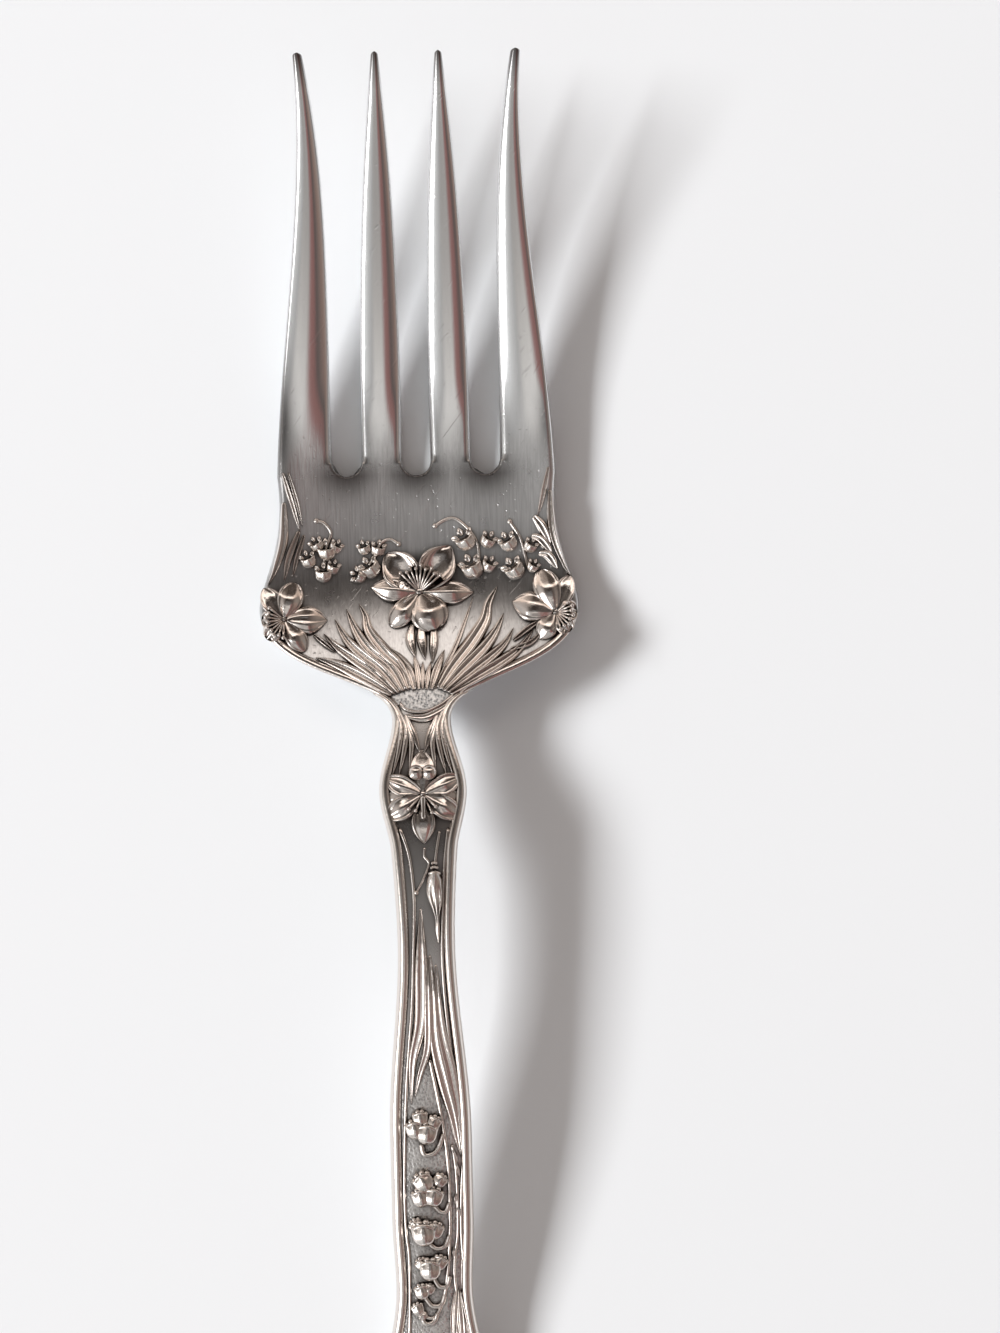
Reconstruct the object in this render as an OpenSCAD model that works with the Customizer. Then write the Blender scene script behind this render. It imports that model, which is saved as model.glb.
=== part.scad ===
// Serving fork in silver: a four-tined head soldered to a handle, both dressed with applied
// flowers, bells and leaves. It lies face up on a table. The origin is on the table under the
// middle of the fork, +Y points to the tine tips and +Z points up.

/* [Head] */
// Length of the tines, from the slot roots to the tips
tine_length = 67; // [56:1:78]
// Length of the plate, from the neck to the slot roots
plate_length = 39; // [36:0.5:44]
// Width across the shoulders of the plate
shoulder_width = 51; // [48:0.5:56]
// Distance from the neck to the widest part of the shoulders
shoulder_rise = 16.5; // [14.5:0.5:18.5]
// Width of each inner tine at its root
inner_tine_width = 6.5; // [5.4:0.1:7]
// Width of each outer tine at its root
outer_tine_width = 8.9; // [7.5:0.1:9.4]
// Width of the slots between the tines
slot_width = 4.6; // [4.2:0.1:5.2]
// Width of each inner tine at its tip
tip_width = 1; // [0.8:0.1:1.6]
// Width of each outer tine at its tip
outer_tip_width = 1.4; // [0.8:0.1:1.8]
// Distance between the tips of the outer tines, centre to centre
tip_spread = 34.7; // [32:0.1:37]
// Distance between the tips of the inner tines, centre to centre
inner_tip_spread = 10.1; // [9:0.1:12]
// Inward bow of the outer tines between root and tip
tine_bow = 1.4; // [0:0.1:1.8]
// Thickness of the plate and of the tine roots
plate_thickness = 2.4; // [2:0.1:3]
// Thickness of each tine at its tip
tip_thickness = 1.2; // [0.8:0.1:1.6]
// Rise of the plate's sides above its middle
dish_depth = 1.6; // [0.8:0.1:2.4]

/* [Side profile] */
// Height of the tine tips above the table
tip_height = 15; // [10:0.5:20]
// Height of the neck above the table
neck_height = 8.3; // [6:0.1:10]
// Greatest height of the handle above the table
arch_height = 12.5; // [10:0.5:16]
// Distance from the neck to the highest point of the handle
arch_setback = 24; // [18:1:32]
// Distance from the slot roots to the heel that the head rests on
heel_setback = 13; // [10:0.5:16]
// Depth of the worn flats under the heel and the handle end
wear_depth = 0.2; // [0.1:0.05:0.3]

/* [Handle] */
// Length of the handle, from the neck to its end
handle_length = 129; // [124:1:136]
// Width of the neck
neck_width = 9.3; // [8.4:0.1:10.4]
// Width of the bulge that carries the neck flower
bulge_width = 13.9; // [12.6:0.1:15.4]
// Width of the handle at its waist
waist_width = 9.1; // [8.4:0.1:10.2]
// Width of the handle beside the bells
body_width = 13; // [12:0.1:14.4]
// Width of the handle at its end
end_width = 19; // [17:0.5:22]
// Thickness of the handle at the neck and waist
handle_thickness = 3.4; // [3:0.1:4.2]
// Thickness of the handle at its end
end_thickness = 2.6; // [2.2:0.1:3.2]
// Length of the soldered half-lap between head and handle
lap_length = 8; // [5:0.5:9]

/* [Borders] */
// Width of the border wire along each edge of the handle
rim_width = 1.5; // [1.2:0.1:1.8]

/* [Blossoms] */
// Width of the flower in the middle of the head
center_flower_width = 16.5; // [14.5:0.5:18]
// Distance from the slot roots to that flower's centre
center_flower_setback = 18.5; // [17:0.5:20]
// Width of the flowers on the shoulders
shoulder_flower_width = 12.5; // [11:0.5:14]
// Width of the flower on the neck bulge
neck_flower_width = 12.6; // [11.4:0.1:13.6]
// Width of the flower on the handle end
end_flower_width = 12.4; // [11:0.2:12.8]
// Height of the petals above the metal that carries them
petal_height = 1.5; // [1.1:0.1:1.9]

/* [Leaves and bells] */
// Width of the leaves at their widest
leaf_width = 1.5; // [1.2:0.1:1.8]
// Diameter of the stems
stem_diameter = 0.7; // [0.6:0.05:0.9]
// Diameter of the bells on the handle
bell_diameter = 2.1; // [1.8:0.1:2.4]
// Diameter of the bells on the head
small_bell_diameter = 1.6; // [1.4:0.1:1.9]

/* [Hidden] */

// Stations along the fork
overall_length = handle_length + plate_length + tine_length;
y_end = -overall_length / 2;
y_neck = y_end + handle_length;
y_root = y_neck + plate_length;
y_tip = y_root + tine_length;
y_heel = y_root - heel_setback;
y_arch = y_neck - arch_setback;
y_lap = y_neck - lap_length;
// Length over which the top face of a soldered step rises
step = 0.01;

// The relief keeps its place along the handle and on the plate when these grow or shrink
drawn_handle_length = 129;
drawn_plate_length = 39;
drawn_shoulder_width = 51;
handle_stretch = handle_length / drawn_handle_length;
plate_stretch = plate_length / drawn_plate_length;
shoulder_stretch = shoulder_width / drawn_shoulder_width;

// Slot and tine layout at the roots
slot_radius = slot_width / 2;
slot_pitch = inner_tine_width + slot_width;
root_half = slot_pitch + slot_radius + outer_tine_width;
// How fast the tines narrow: a higher power keeps the width for longer
inner_taper = 2.6;
outer_taper = 1.18;

// Share of the thickness that is left at an edge, and how sharply the faces fall to it
edge_share = 0.32;
tine_crown = 2.6;
plate_crown = 14;

// Slopes of the side profile at the handle end, the neck and the tips
end_slope = 0.06;
neck_slope = -0.33;
tip_slope = 0.24;
heel_z = plate_thickness / 2 - wear_depth;
end_z = end_thickness / 2 - wear_depth;
spine = [
  [y_end, end_z, end_slope],
  [y_arch, arch_height, 0],
  [y_neck, neck_height, neck_slope],
  [y_heel, heel_z, 0],
  [y_tip, tip_height, tip_slope]
];

// Handle outline: distance below the neck, half width, slope
flare_length = 16 * handle_stretch;
flare_at = handle_length - flare_length;
// The round end stops just short of a quarter turn, at a small blunt tip
end_turn = 86;
end_reach = flare_length / sin(end_turn);
handle_outline = [
  [0, neck_width / 2, 0],
  [11.5 * handle_stretch, bulge_width / 2, 0],
  [21 * handle_stretch, waist_width / 2 + 0.7, -0.07],
  [36 * handle_stretch, waist_width / 2, 0],
  [66 * handle_stretch, body_width / 2, 0],
  [80 * handle_stretch, body_width / 2, 0],
  [91 * handle_stretch, body_width / 2 - 0.4, 0],
  [flare_at, end_width / 2, 0]
];

// Curves

function mix(a, b, t) = a + (b - a) * t;
function unit(v) = max(0, min(1, v));
function ease(t) = t * t * (3 - 2 * t);
function segment(k, x, i = 0) = i >= len(k) - 2 || x < k[i + 1][0] ? i : segment(k, x, i + 1);
// Smooth curve through knots of [place, value, slope]
function through(k, x) =
  let (i = segment(k, x), a = k[i], b = k[i + 1], h = b[0] - a[0], t = unit((x - a[0]) / h))
  mix(a[1], b[1], ease(t)) + h * t * (1 - t) * ((1 - t) * a[2] - t * b[2]);
function bezier_at(p, t) =
  let (u = 1 - t) u * u * u * p[0] + 3 * u * u * t * p[1] + 3 * u * t * t * p[2] + t * t * t * p[3];
function bezier(p, n) = [for (i = [0:n]) bezier_at(p, i / n)];
function flatten(lists) = [for (l = lists) each l];

// The metal's own surface

function spine_z(y) = through(spine, y);
function thickness(y) =
  y > y_root ? mix(plate_thickness, tip_thickness, pow(unit((y - y_root) / tine_length), 2))
  : y > y_neck ? mix(handle_thickness, plate_thickness, ease(unit((y - y_neck) / (y_heel - y_neck))))
  : mix(end_thickness, handle_thickness, ease(unit((y - y_end) / (y_arch - y_end))));
function dish(x, y) = dish_depth * ease(unit((y - y_neck) / (y_heel - y_neck))) * pow(x / root_half, 2);
function mid_z(x, y) = spine_z(y) + dish(x, y);
function top_z(x, y) = mid_z(x, y) + thickness(y) / 2;
function edge_fall(s, crown) = 1 - (1 - edge_share) * pow(abs(s), crown);
function handle_half(y) =
  let (d = y_neck - y)
  d <= flare_at ? through(handle_outline, d)
  : end_width / 2 * sqrt(max(0, 1 - pow((d - flare_at) / end_reach, 2)));
function on_top(p, lift = 0) = [p[0], p[1], top_z(p[0], p[1]) + lift];
function drape(path, lift = 0) = [for (p = path) on_top(p, lift)];

// Closed strips of metal: each row holds as many top points as bottom points

strip_columns = [-1, -0.6, 0, 0.6, 1];
columns = len(strip_columns);

function quad(a, b, c, d) = [[a, b, c], [a, c, d]];
function strip_row(left, right, y, top, bottom, crown) =
  let (half = (right - left) / 2, middle = (right + left) / 2)
  flatten([for (side = [1, -1]) [for (s = strip_columns)
    let (x = middle + half * s, fall = edge_fall(s, crown) * thickness(y) / 2)
    [x, y, mid_z(x, y) + (side > 0 ? (top ? fall : 0) : (bottom ? -fall : 0))]]]);

module strip_solid(rows) {
  n = len(rows);
  last = columns - 1;
  function top(j, c) = j * 2 * columns + c;
  function bottom(j, c) = top(j, c) + columns;
  faces = flatten(concat(
    [for (j = [0:n - 2], c = [0:last - 1])
      quad(top(j, c), top(j + 1, c), top(j + 1, c + 1), top(j, c + 1))],
    [for (j = [0:n - 2], c = [0:last - 1])
      quad(bottom(j, c), bottom(j, c + 1), bottom(j + 1, c + 1), bottom(j + 1, c))],
    [for (j = [0:n - 2]) quad(top(j, 0), bottom(j, 0), bottom(j + 1, 0), top(j + 1, 0))],
    [for (j = [0:n - 2]) quad(top(j, last), top(j + 1, last), bottom(j + 1, last), bottom(j, last))],
    [for (c = [0:last - 1]) quad(top(0, c), top(0, c + 1), bottom(0, c + 1), bottom(0, c))],
    [for (c = [0:last - 1])
      quad(top(n - 1, c), bottom(n - 1, c), bottom(n - 1, c + 1), top(n - 1, c + 1))]
  ));
  polyhedron(flatten(rows), faces, convexity = 6);
}

// Fork head: a tongue under the handle, the plate, and four tines

lap_stations = [for (i = [0:3]) mix(y_lap, y_neck, i / 3)];
// How far the outline runs on before it turns: up from the neck, below and above the shoulder,
// and below the tines
neck_run = 7;
shoulder_drop = 9.7;
shoulder_run = 5;
side_run = 12.5;
// How far the side's curve is pulled out above the shoulder and in below the tines
shoulder_swell = 0.9;
side_hollow = 1.5;
neck_swell = 0.4;
shoulder_round = 2;
flank = [[neck_width / 2, 0], [neck_width / 2 + neck_swell, neck_run],
  [shoulder_width / 2 - shoulder_round, shoulder_rise - shoulder_drop], [shoulder_width / 2, shoulder_rise]];
side = [[shoulder_width / 2, shoulder_rise],
  [shoulder_width / 2 + shoulder_swell, shoulder_rise + shoulder_run],
  [root_half - side_hollow, plate_length - side_run], [root_half, plate_length]];
// Half width and distance from the neck along the plate's edge
plate_edge = concat([for (i = [1:9]) bezier_at(flank, i / 9)], [for (i = [1:7]) bezier_at(side, i / 7)]);
plate_stations = concat(
  [for (y = lap_stations) [handle_half(y), y, false]],
  [[neck_width / 2, y_neck + step, true]],
  [for (p = plate_edge) [p[0], y_neck + p[1], true]]
);
plate_last = 4 * (columns - 1);
// The lines down the middles of the slots cut the plate into four strips
strip_edges = [-1, -slot_pitch / root_half, 0, slot_pitch / root_half, 1];
plate_columns = concat(
  flatten([for (k = [0:3], c = [0:columns - 2]) [mix(strip_edges[k], strip_edges[k + 1],
    (strip_columns[c] + 1) / 2)]]), [1]);

// How much of the thickness is left in the plate near an edge or a slot root
function plate_fall(c, y) =
  let (s = plate_columns[c], at_slot = y >= y_root - step && c % (columns - 1) == 0)
  at_slot ? edge_share : edge_fall(s, mix(4, plate_crown, ease(unit((y - y_neck) / shoulder_rise))));
function plate_row(station) =
  let (half = station[0], y = station[1])
  flatten([for (face = [1, -1]) [for (c = [0:plate_last])
    let (x = half * plate_columns[c], fall = plate_fall(c, y) * thickness(y) / 2)
    [x, y, mid_z(x, y) + (face < 0 ? -fall : station[2] ? fall : 0)]]]);

// Tines: rows are close together round the slot roots
root_stations = [for (a = [25, 50, 72, 90]) y_root + slot_radius * (1 - cos(a))];
tine_rows = 14;
tine_stations = concat(root_stations,
  [for (i = [1:tine_rows]) mix(y_root + slot_radius, y_tip, i / tine_rows)]);
function tine_share(y) = unit((y - y_root) / tine_length);
// Half the gap that the round slot root opens at y
function slot_half(y) = y >= y_root + slot_radius ? slot_radius
  : sqrt(max(0, slot_radius * slot_radius - pow(y_root + slot_radius - y, 2)));
function inner_half(y) = mix(inner_tine_width, tip_width, pow(tine_share(y), inner_taper)) / 2;
function outer_half(y) = mix(outer_tine_width, outer_tip_width, pow(tine_share(y), outer_taper)) / 2;
// The bow is deepest two thirds of the way to the tip, where this makes it the whole tine_bow
bow_scale = 27 / 4;
function outer_middle(y) =
  let (t = tine_share(y))
  mix(root_half - outer_tine_width / 2, tip_spread / 2, t) - tine_bow * bow_scale * t * t * (1 - t);
function inner_middle(y) = mix(slot_pitch / 2, inner_tip_spread / 2, tine_share(y));
// Left and right edges of tine k at y, with the round slot root left full
function tine_edges(k, y) =
  let (mirrored = k < 2 ? -1 : 1, outer = k == 0 || k == 3, fill = slot_radius - slot_half(y),
    m = outer ? outer_middle(y) : inner_middle(y), h = outer ? outer_half(y) : inner_half(y),
    near = m - h - fill, far = m + h + (outer ? 0 : fill))
  mirrored < 0 ? [-far, -near] : [near, far];
function tine_row(y) = flatten([for (k = [0:3])
  let (e = tine_edges(k, y))
  strip_row(e[0], e[1], y, true, true, mix(plate_crown, tine_crown, unit((y - y_root) / 12)))]);

module head_blank() {
  plates = len(plate_stations);
  rows = plates + len(tine_stations);
  base = plates * 2 * (plate_last + 1);
  last = columns - 1;
  function top(j, k, c) = j < plates ? j * 2 * (plate_last + 1) + k * last + c
    : base + (j - plates) * 8 * columns + k * 2 * columns + c;
  function bottom(j, k, c) = top(j, k, c) + (j < plates ? plate_last + 1 : columns);
  faces = flatten(concat(
    [for (j = [0:rows - 2], k = [0:3], c = [0:last - 1])
      quad(top(j, k, c), top(j + 1, k, c), top(j + 1, k, c + 1), top(j, k, c + 1))],
    [for (j = [0:rows - 2], k = [0:3], c = [0:last - 1])
      quad(bottom(j, k, c), bottom(j, k, c + 1), bottom(j + 1, k, c + 1), bottom(j + 1, k, c))],
    [for (j = [0:rows - 2], k = [0:3]) if (k == 0 || j >= plates - 1)
      quad(top(j, k, 0), bottom(j, k, 0), bottom(j + 1, k, 0), top(j + 1, k, 0))],
    [for (j = [0:rows - 2], k = [0:3]) if (k == 3 || j >= plates - 1)
      quad(top(j, k, last), top(j + 1, k, last), bottom(j + 1, k, last), bottom(j, k, last))],
    [for (k = [0:3], c = [0:last - 1])
      quad(top(0, k, c), top(0, k, c + 1), bottom(0, k, c + 1), bottom(0, k, c))],
    [for (k = [0:3], c = [0:last - 1])
      quad(top(rows - 1, k, c), bottom(rows - 1, k, c), bottom(rows - 1, k, c + 1), top(rows - 1, k, c + 1))]
  ));
  polyhedron(concat(flatten([for (s = plate_stations) plate_row(s)]),
    flatten([for (y = tine_stations) tine_row(y)])), faces, convexity = 8);
}

// Everything under the table top, which wears the resting flats
module below_table() {
  translate([-shoulder_width, y_end - 1, -plate_length])
    cube([2 * shoulder_width, overall_length + 2, plate_length]);
}

module fork_head() {
  color("silver") difference() {
    head_blank();
    below_table();
  }
}

// Handle: its upper half laps over the tongue of the head

end_rows = 6;
handle_stations = concat(
  [for (i = [0:end_rows]) [y_neck - flare_at - end_reach * sin(end_turn * (1 - i / end_rows)), true]],
  [for (i = [1:26]) [mix(y_neck - flare_at, y_lap - step, i / 26), true]],
  [for (y = lap_stations) [y, false]]
);

module handle_blank() {
  strip_solid([for (s = handle_stations)
    strip_row(-handle_half(s[0]), handle_half(s[0]), s[0], true, s[1], 4)]);
}

module handle() {
  color("silver") difference() {
    handle_blank();
    below_table();
  }
}

// Relief: strands, leaves, bells and petals, each seated on the metal below it

round_sides = 8;
stem_sides = 6;

module seated() {
  difference() {
    union() children();
    head_blank();
    handle_blank();
  }
}

module bead(p, r, flat = 1, sides = round_sides) {
  translate(p) scale([1, 1, flat]) sphere(r, $fn = sides);
}

// A round strand through points, with a radius at each
module strand(path, radii, flat = 1, sides = stem_sides) {
  for (i = [0:len(path) - 2]) hull() {
    bead(path[i], radii[i], flat, sides);
    bead(path[i + 1], radii[i + 1], flat, sides);
  }
}

module stem(control, pieces = 6, share = 1) {
  strand(drape(bezier(control, pieces)), [for (i = [0:pieces]) share * stem_diameter / 2]);
}

// A leaf swells from its root and runs out to a point
leaf_pieces = 6;
leaf_belly = 0.45;
leaf_root_share = 0.5;
leaf_tip_share = 0.15;
leaf_flat = 0.75;
function leaf_share(t) = t < leaf_belly ? mix(leaf_root_share, 1, ease(t / leaf_belly))
  : mix(1, leaf_tip_share, pow((t - leaf_belly) / (1 - leaf_belly), 1.5));

module leaf(control, width) {
  strand(drape(bezier(control, leaf_pieces)),
    [for (i = [0:leaf_pieces]) width / 2 * leaf_share(i / leaf_pieces)], leaf_flat, round_sides);
}

// A bell is a round cup with a flared mouth, turned to point along angle
module bell(p, angle, diameter) {
  translate(on_top(p)) rotate([0, 0, angle]) {
    bead([0, 0, diameter * 0.15], diameter / 2, 0.9);
    hull() {
      bead([diameter * 0.25, 0, diameter * 0.12], diameter * 0.42, 0.8, stem_sides);
      bead([diameter * 0.55, 0, diameter * 0.05], diameter * 0.5, 0.6, stem_sides);
    }
  }
}

// Leans what it holds to the slope of the metal at p
slope_span = 1;
module lean_at(p) {
  rise_y = top_z(p[0], p[1] + slope_span) - top_z(p[0], p[1] - slope_span);
  rise_x = top_z(p[0] + slope_span, p[1]) - top_z(p[0] - slope_span, p[1]);
  translate(on_top(p)) rotate([atan(rise_y / 2 / slope_span), -atan(rise_x / 2 / slope_span), 0]) children();
}

// Petals of each flower: turn, length as a share of the flower's half width, and how much lower it lies
center_petals = [[54, 1.05, 0], [122, 0.9, 0.25], [173, 0.95, 0.1], [-1, 1.04, 0.2], [229, 0.9, 0.02],
  [291, 0.85, 0.3]];
shoulder_petals = [[67, 0.98, 0.1], [108, 1.1, 0.25], [165, 1.12, 0], [238, 0.85, 0.2], [-55, 0.58, 0.05],
  [5, 0.54, 0.3]];
neck_petals = [[76, 0.86, 0], [104, 0.84, 0.2], [159, 1.02, 0.05], [22, 1.04, 0.25], [214, 1.06, 0.25],
  [-33, 1.04, 0.1], [270, 1.1, 0]];
end_petals = [[30, 1, 0], [90, 0.95, 0.25], [150, 1, 0.08], [210, 0.96, 0.3], [270, 0.99, 0.02],
  [330, 0.94, 0.22]];
// Places along a petal, and the half width and height there, as shares of its length and height
petal_places = [[0.12, 0.1, 0.45], [0.55, 0.31, 0.8], [0.86, 0.14, 0.2]];

// How far a petal is sunk, and how far its foot goes on into the metal, so that no hollow is left under it
petal_sink = 0.4;
petal_foot = 0.6;

module petal(length, lower) {
  hull() for (q = petal_places, sunk = [0, petal_foot])
    bead([q[0] * length, 0, q[2] * petal_height - petal_sink - lower - sunk], q[1] * length, 0.45);
}

// The middle of a flower: a domed cup and a pistil that leans out of it
pistil_turn = 76;
module flower_middle(width) {
  hull() {
    bead([0, 0, petal_height * 0.3], width * 0.105, 0.9);
    bead([0, 0, petal_height * 0.75], width * 0.06, 0.9);
  }
  rotate([0, 0, pistil_turn]) hull() {
    bead([0, 0, petal_height * 0.7], 0.4, 1, stem_sides);
    bead([width * 0.24, 0, petal_height], 0.45, 1, stem_sides);
  }
}

// A lily: petals round a trumpet
module blossom(p, width, petals) {
  lean_at(p) {
    for (q = petals) rotate([0, 0, q[0]]) petal(q[1] * width / 2, q[2]);
    flower_middle(width);
  }
}

// Handle borders

rim_rows = 30;
rim_sink = 0.25;
rim_neck_gap = rim_width / 2;
// The two borders stop side by side at the end of the handle
rim_turn = 85;
// Down one edge of the handle and round to the middle of its end
rim_line = concat(
  [for (i = [0:rim_rows]) let (y = mix(y_neck - rim_neck_gap, y_neck - flare_at, i / rim_rows))
    [handle_half(y) - rim_width / 2, y]],
  [for (i = [1:end_rows]) let (a = rim_turn * i / end_rows)
    [(end_width - rim_width) / 2 * cos(a), y_neck - flare_at - (flare_length - rim_width / 2) * sin(a)]]
);

module rim() {
  strand(drape(rim_line, -rim_sink), [for (p = rim_line) rim_width / 2], 0.9);
}

module right_rim() {
  color("gainsboro") difference() {
    seated() rim();
    flower_on_neck();
    flower_on_end();
    mirror([1, 0, 0]) rim();
  }
}

module left_rim() {
  color("gainsboro") difference() {
    seated() mirror([1, 0, 0]) rim();
    flower_on_neck();
    flower_on_end();
  }
}

// Flowers

center_flower_at = [0, y_root - center_flower_setback];
shoulder_flower_inset = 3.8;
shoulder_flower_at = [shoulder_width / 2 - shoulder_flower_inset, y_neck + shoulder_rise];
neck_flower_drop = 12 * handle_stretch;
neck_flower_at = [0, y_neck - neck_flower_drop];
end_flower_rise = 17 * handle_stretch;
end_flower_at = [0, y_end + end_flower_rise];

module flower_on_neck() { blossom(neck_flower_at, neck_flower_width, neck_petals); }
module flower_on_end() { blossom(end_flower_at, end_flower_width, end_petals); }
module flower_on_center() {
  blossom(center_flower_at, center_flower_width, center_petals);
  // The tube behind the petals hangs toward the neck
  strand(drape([for (q = [[0, -0.1], [0.03, -0.36], [0.05, -0.56]])
    center_flower_at + q * center_flower_width]),
    [for (q = [0.12, 0.09, 0.05]) q * center_flower_width], 0.8, round_sides);
}
module flower_on_shoulder() { blossom(shoulder_flower_at, shoulder_flower_width, shoulder_petals); }

module center_flower() { color("whitesmoke") seated() flower_on_center(); }
module right_flower() { color("whitesmoke") seated() flower_on_shoulder(); }
module left_flower() { color("whitesmoke") seated() mirror([1, 0, 0]) flower_on_shoulder(); }
module neck_flower() { color("whitesmoke") seated() flower_on_neck(); }
module end_flower() { color("whitesmoke") seated() flower_on_end(); }

// Leaves on the head: root, two guides and tip, from the middle of the neck's top edge

// The plain land above the neck is bare up to here
land_rise = 4.5;
fan_at = [0, y_neck + land_rise];
fan_leaves = [
  [[3.7, 0], [9, 2.2], [14, 4.4], [18, 8.2]],
  [[3, 0.3], [9, 4.2], [11.6, 6.6], [14.6, 10.2]],
  [[2.3, 0.5], [7.6, 5.4], [9.4, 8.4], [12.8, 13.6]],
  [[1.6, 0.6], [6, 6.2], [6.6, 9.4], [10, 15.6]]
];
middle_leaf_pairs = [
  [[0.5, 0.9], [3.2, 5], [4.2, 7.6], [6, 11.4]],
  [[0.2, 0.9], [0.7, 3], [1.3, 4.4], [2.2, 6.6]]
];
edge_leaf_at = [root_half * shoulder_stretch, y_root];
edge_leaves = [
  [[-1.3, -15.2], [-2.2, -10], [-1.6, -5], [-0.8, 1]],
  [[-1.6, -15.2], [-4.2, -11.4], [-3.8, -6.4], [-2.4, -1.6]]
];

function on_plate(points, at) = [for (p = points) [p[0] * shoulder_stretch, p[1] * plate_stretch] + at];
function on_handle(points) = [for (p = points) [p[0], y_neck + p[1] * handle_stretch]];

module fan() { for (l = fan_leaves) leaf(on_plate(l, fan_at), leaf_width); }
module edge_pair() { for (l = edge_leaves) leaf(on_plate(l, edge_leaf_at), leaf_width * 0.8); }

module clear_of_flowers() {
  difference() {
    seated() children();
    flower_on_center();
    flower_on_shoulder();
    mirror([1, 0, 0]) flower_on_shoulder();
  }
}

module right_leaf_fan() { color("lightgray") clear_of_flowers() fan(); }
module left_leaf_fan() { color("lightgray") clear_of_flowers() mirror([1, 0, 0]) fan(); }
module right_edge_leaves() { color("lightgray") clear_of_flowers() edge_pair(); }
module left_edge_leaves() { color("lightgray") clear_of_flowers() mirror([1, 0, 0]) edge_pair(); }
module middle_leaves() {
  color("lightgray") difference() {
    clear_of_flowers() for (m = [0, 1]) mirror([m, 0, 0])
      for (l = middle_leaf_pairs) leaf(on_plate(l, fan_at), leaf_width * 0.8);
    fan();
    mirror([1, 0, 0]) fan();
  }
}

// Bells on the head: a bent stalk with bells beside it, from the middle of the slot roots

root_at = [0, y_root];
outer_stalk = [[14.8, -6.8], [15.6, -9], [16.2, -11], [16.8, -13.4]];
// Each bell: place, the way it points, and where its own stalk leaves the long one
outer_bells = [[14.3, -10, 205, 0.3], [16.9, -8.2, 340, 0.3], [15, -13.2, 215, 0.75]];
inner_stalk = [[4.4, -7.6], [7, -6.4], [9, -9], [9.8, -12.6]];
inner_bells = [[6.8, -10, 215, 0.45], [11, -9.6, 330, 0.65], [8, -12.8, 225, 0.8]];

module bell_spray(stalk, bells) {
  line = on_plate(stalk, root_at);
  stem(line, 8);
  for (b = bells) {
    at = on_plate([b], root_at)[0];
    bell(at, b[2], small_bell_diameter);
    strand(drape([bezier_at(line, b[3]), at]), [0.8, 0.8] * stem_diameter / 2);
  }
}

module outer_right_bells() { color("whitesmoke") clear_of_flowers() bell_spray(outer_stalk, outer_bells); }
module outer_left_bells() {
  color("whitesmoke") clear_of_flowers() mirror([1, 0, 0]) bell_spray(outer_stalk, outer_bells);
}
module inner_right_bells() { color("whitesmoke") clear_of_flowers() bell_spray(inner_stalk, inner_bells); }
module inner_left_bells() {
  color("whitesmoke") clear_of_flowers() mirror([1, 0, 0]) bell_spray(inner_stalk, inner_bells);
}

// Relief on the handle, from the neck

neck_leaf_pairs = [
  [[2.5, 2], [2.2, -0.6], [1.2, -2.4], [0, -5]],
  [[2.6, 1.8], [3, -1], [2.7, -3], [3, -6]]
];
bud_path = [[1.2, -20.6], [1.4, -24], [1.7, -29], [2, -35]];
bud_radii = [0.5, 0.75, 1.15, 1.25, 1.05, 0.8, 0.55, 0.4, 0.35];
handle_leaf_lines = [
  [[0.3, -36.2], [-0.6, -42], [-1.8, -47], [-3.2, -56]],
  [[0.6, -36.2], [0.9, -44], [-0.6, -50], [-1.8, -58.4]],
  [[0.9, -36.2], [1.5, -45], [2.4, -50], [3.7, -60.5]]
];
// The long stem: distance below the neck, place across the handle, slope
main_stem = [for (q = [[57, 0.9, 0.2], [66, 2.2, 0.1], [80, 3, 0], [90, 2.2, -0.2], [97.5, 0.2, -0.3]])
  [q[0] * handle_stretch, q[1], q[2]]];
main_stem_pieces = 14;
side_stem_line = [[[3.9, -64], [4.2, -70], [4.4, -78], [3.9, -84]],
  [[3.9, -84], [3.7, -88], [3.8, -92], [4.2, -96]]];
// Each cluster: place, and its size as a share of a full cluster
bell_clusters = [[-1, -64.4, 1], [-0.8, -73, 1], [-1.3, -80, 1], [-0.8, -86.6, 1], [-2.2, -91.8, 0.75],
  [-2.4, -96, 0.7]];
// A wreath from under the end flower up both sides of it
wreath = [for (q = [[0, 5], [5, 5], [7.4, 12], [6.6, 21.5]]) [q[0], y_end + q[1] * handle_stretch]];

module leaves_on_handle(lines, width) { for (l = lines) leaf(on_handle(l), width); }

module neck_leaves() {
  color("lightgray") difference() {
    seated() for (m = [0, 1]) mirror([m, 0, 0]) leaves_on_handle(neck_leaf_pairs, leaf_width * 0.75);
    flower_on_neck();
    rim();
    mirror([1, 0, 0]) rim();
  }
}

module bud() {
  strand(drape(bezier(on_handle(bud_path), len(bud_radii) - 1)), bud_radii, 0.9, round_sides);
}

module flower_bud() { color("whitesmoke") seated() bud(); }

module long_stem() {
  line = [for (i = [0:main_stem_pieces])
    let (d = mix(main_stem[0][0], main_stem[len(main_stem) - 1][0], i / main_stem_pieces))
    [through(main_stem, d), y_neck - d]];
  strand(drape(line), [for (p = line) stem_diameter / 2]);
}

module handle_leaves() {
  color("lightgray") difference() {
    seated() leaves_on_handle(handle_leaf_lines, leaf_width * 1.2);
    rim();
    mirror([1, 0, 0]) rim();
    long_stem();
    bud();
  }
}

module bell_stem() { color("lightgray") seated() long_stem(); }

module side_stem() {
  color("lightgray") difference() {
    seated() for (l = side_stem_line) stem(on_handle(l), 7);
    rim();
    long_stem();
  }
}

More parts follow.
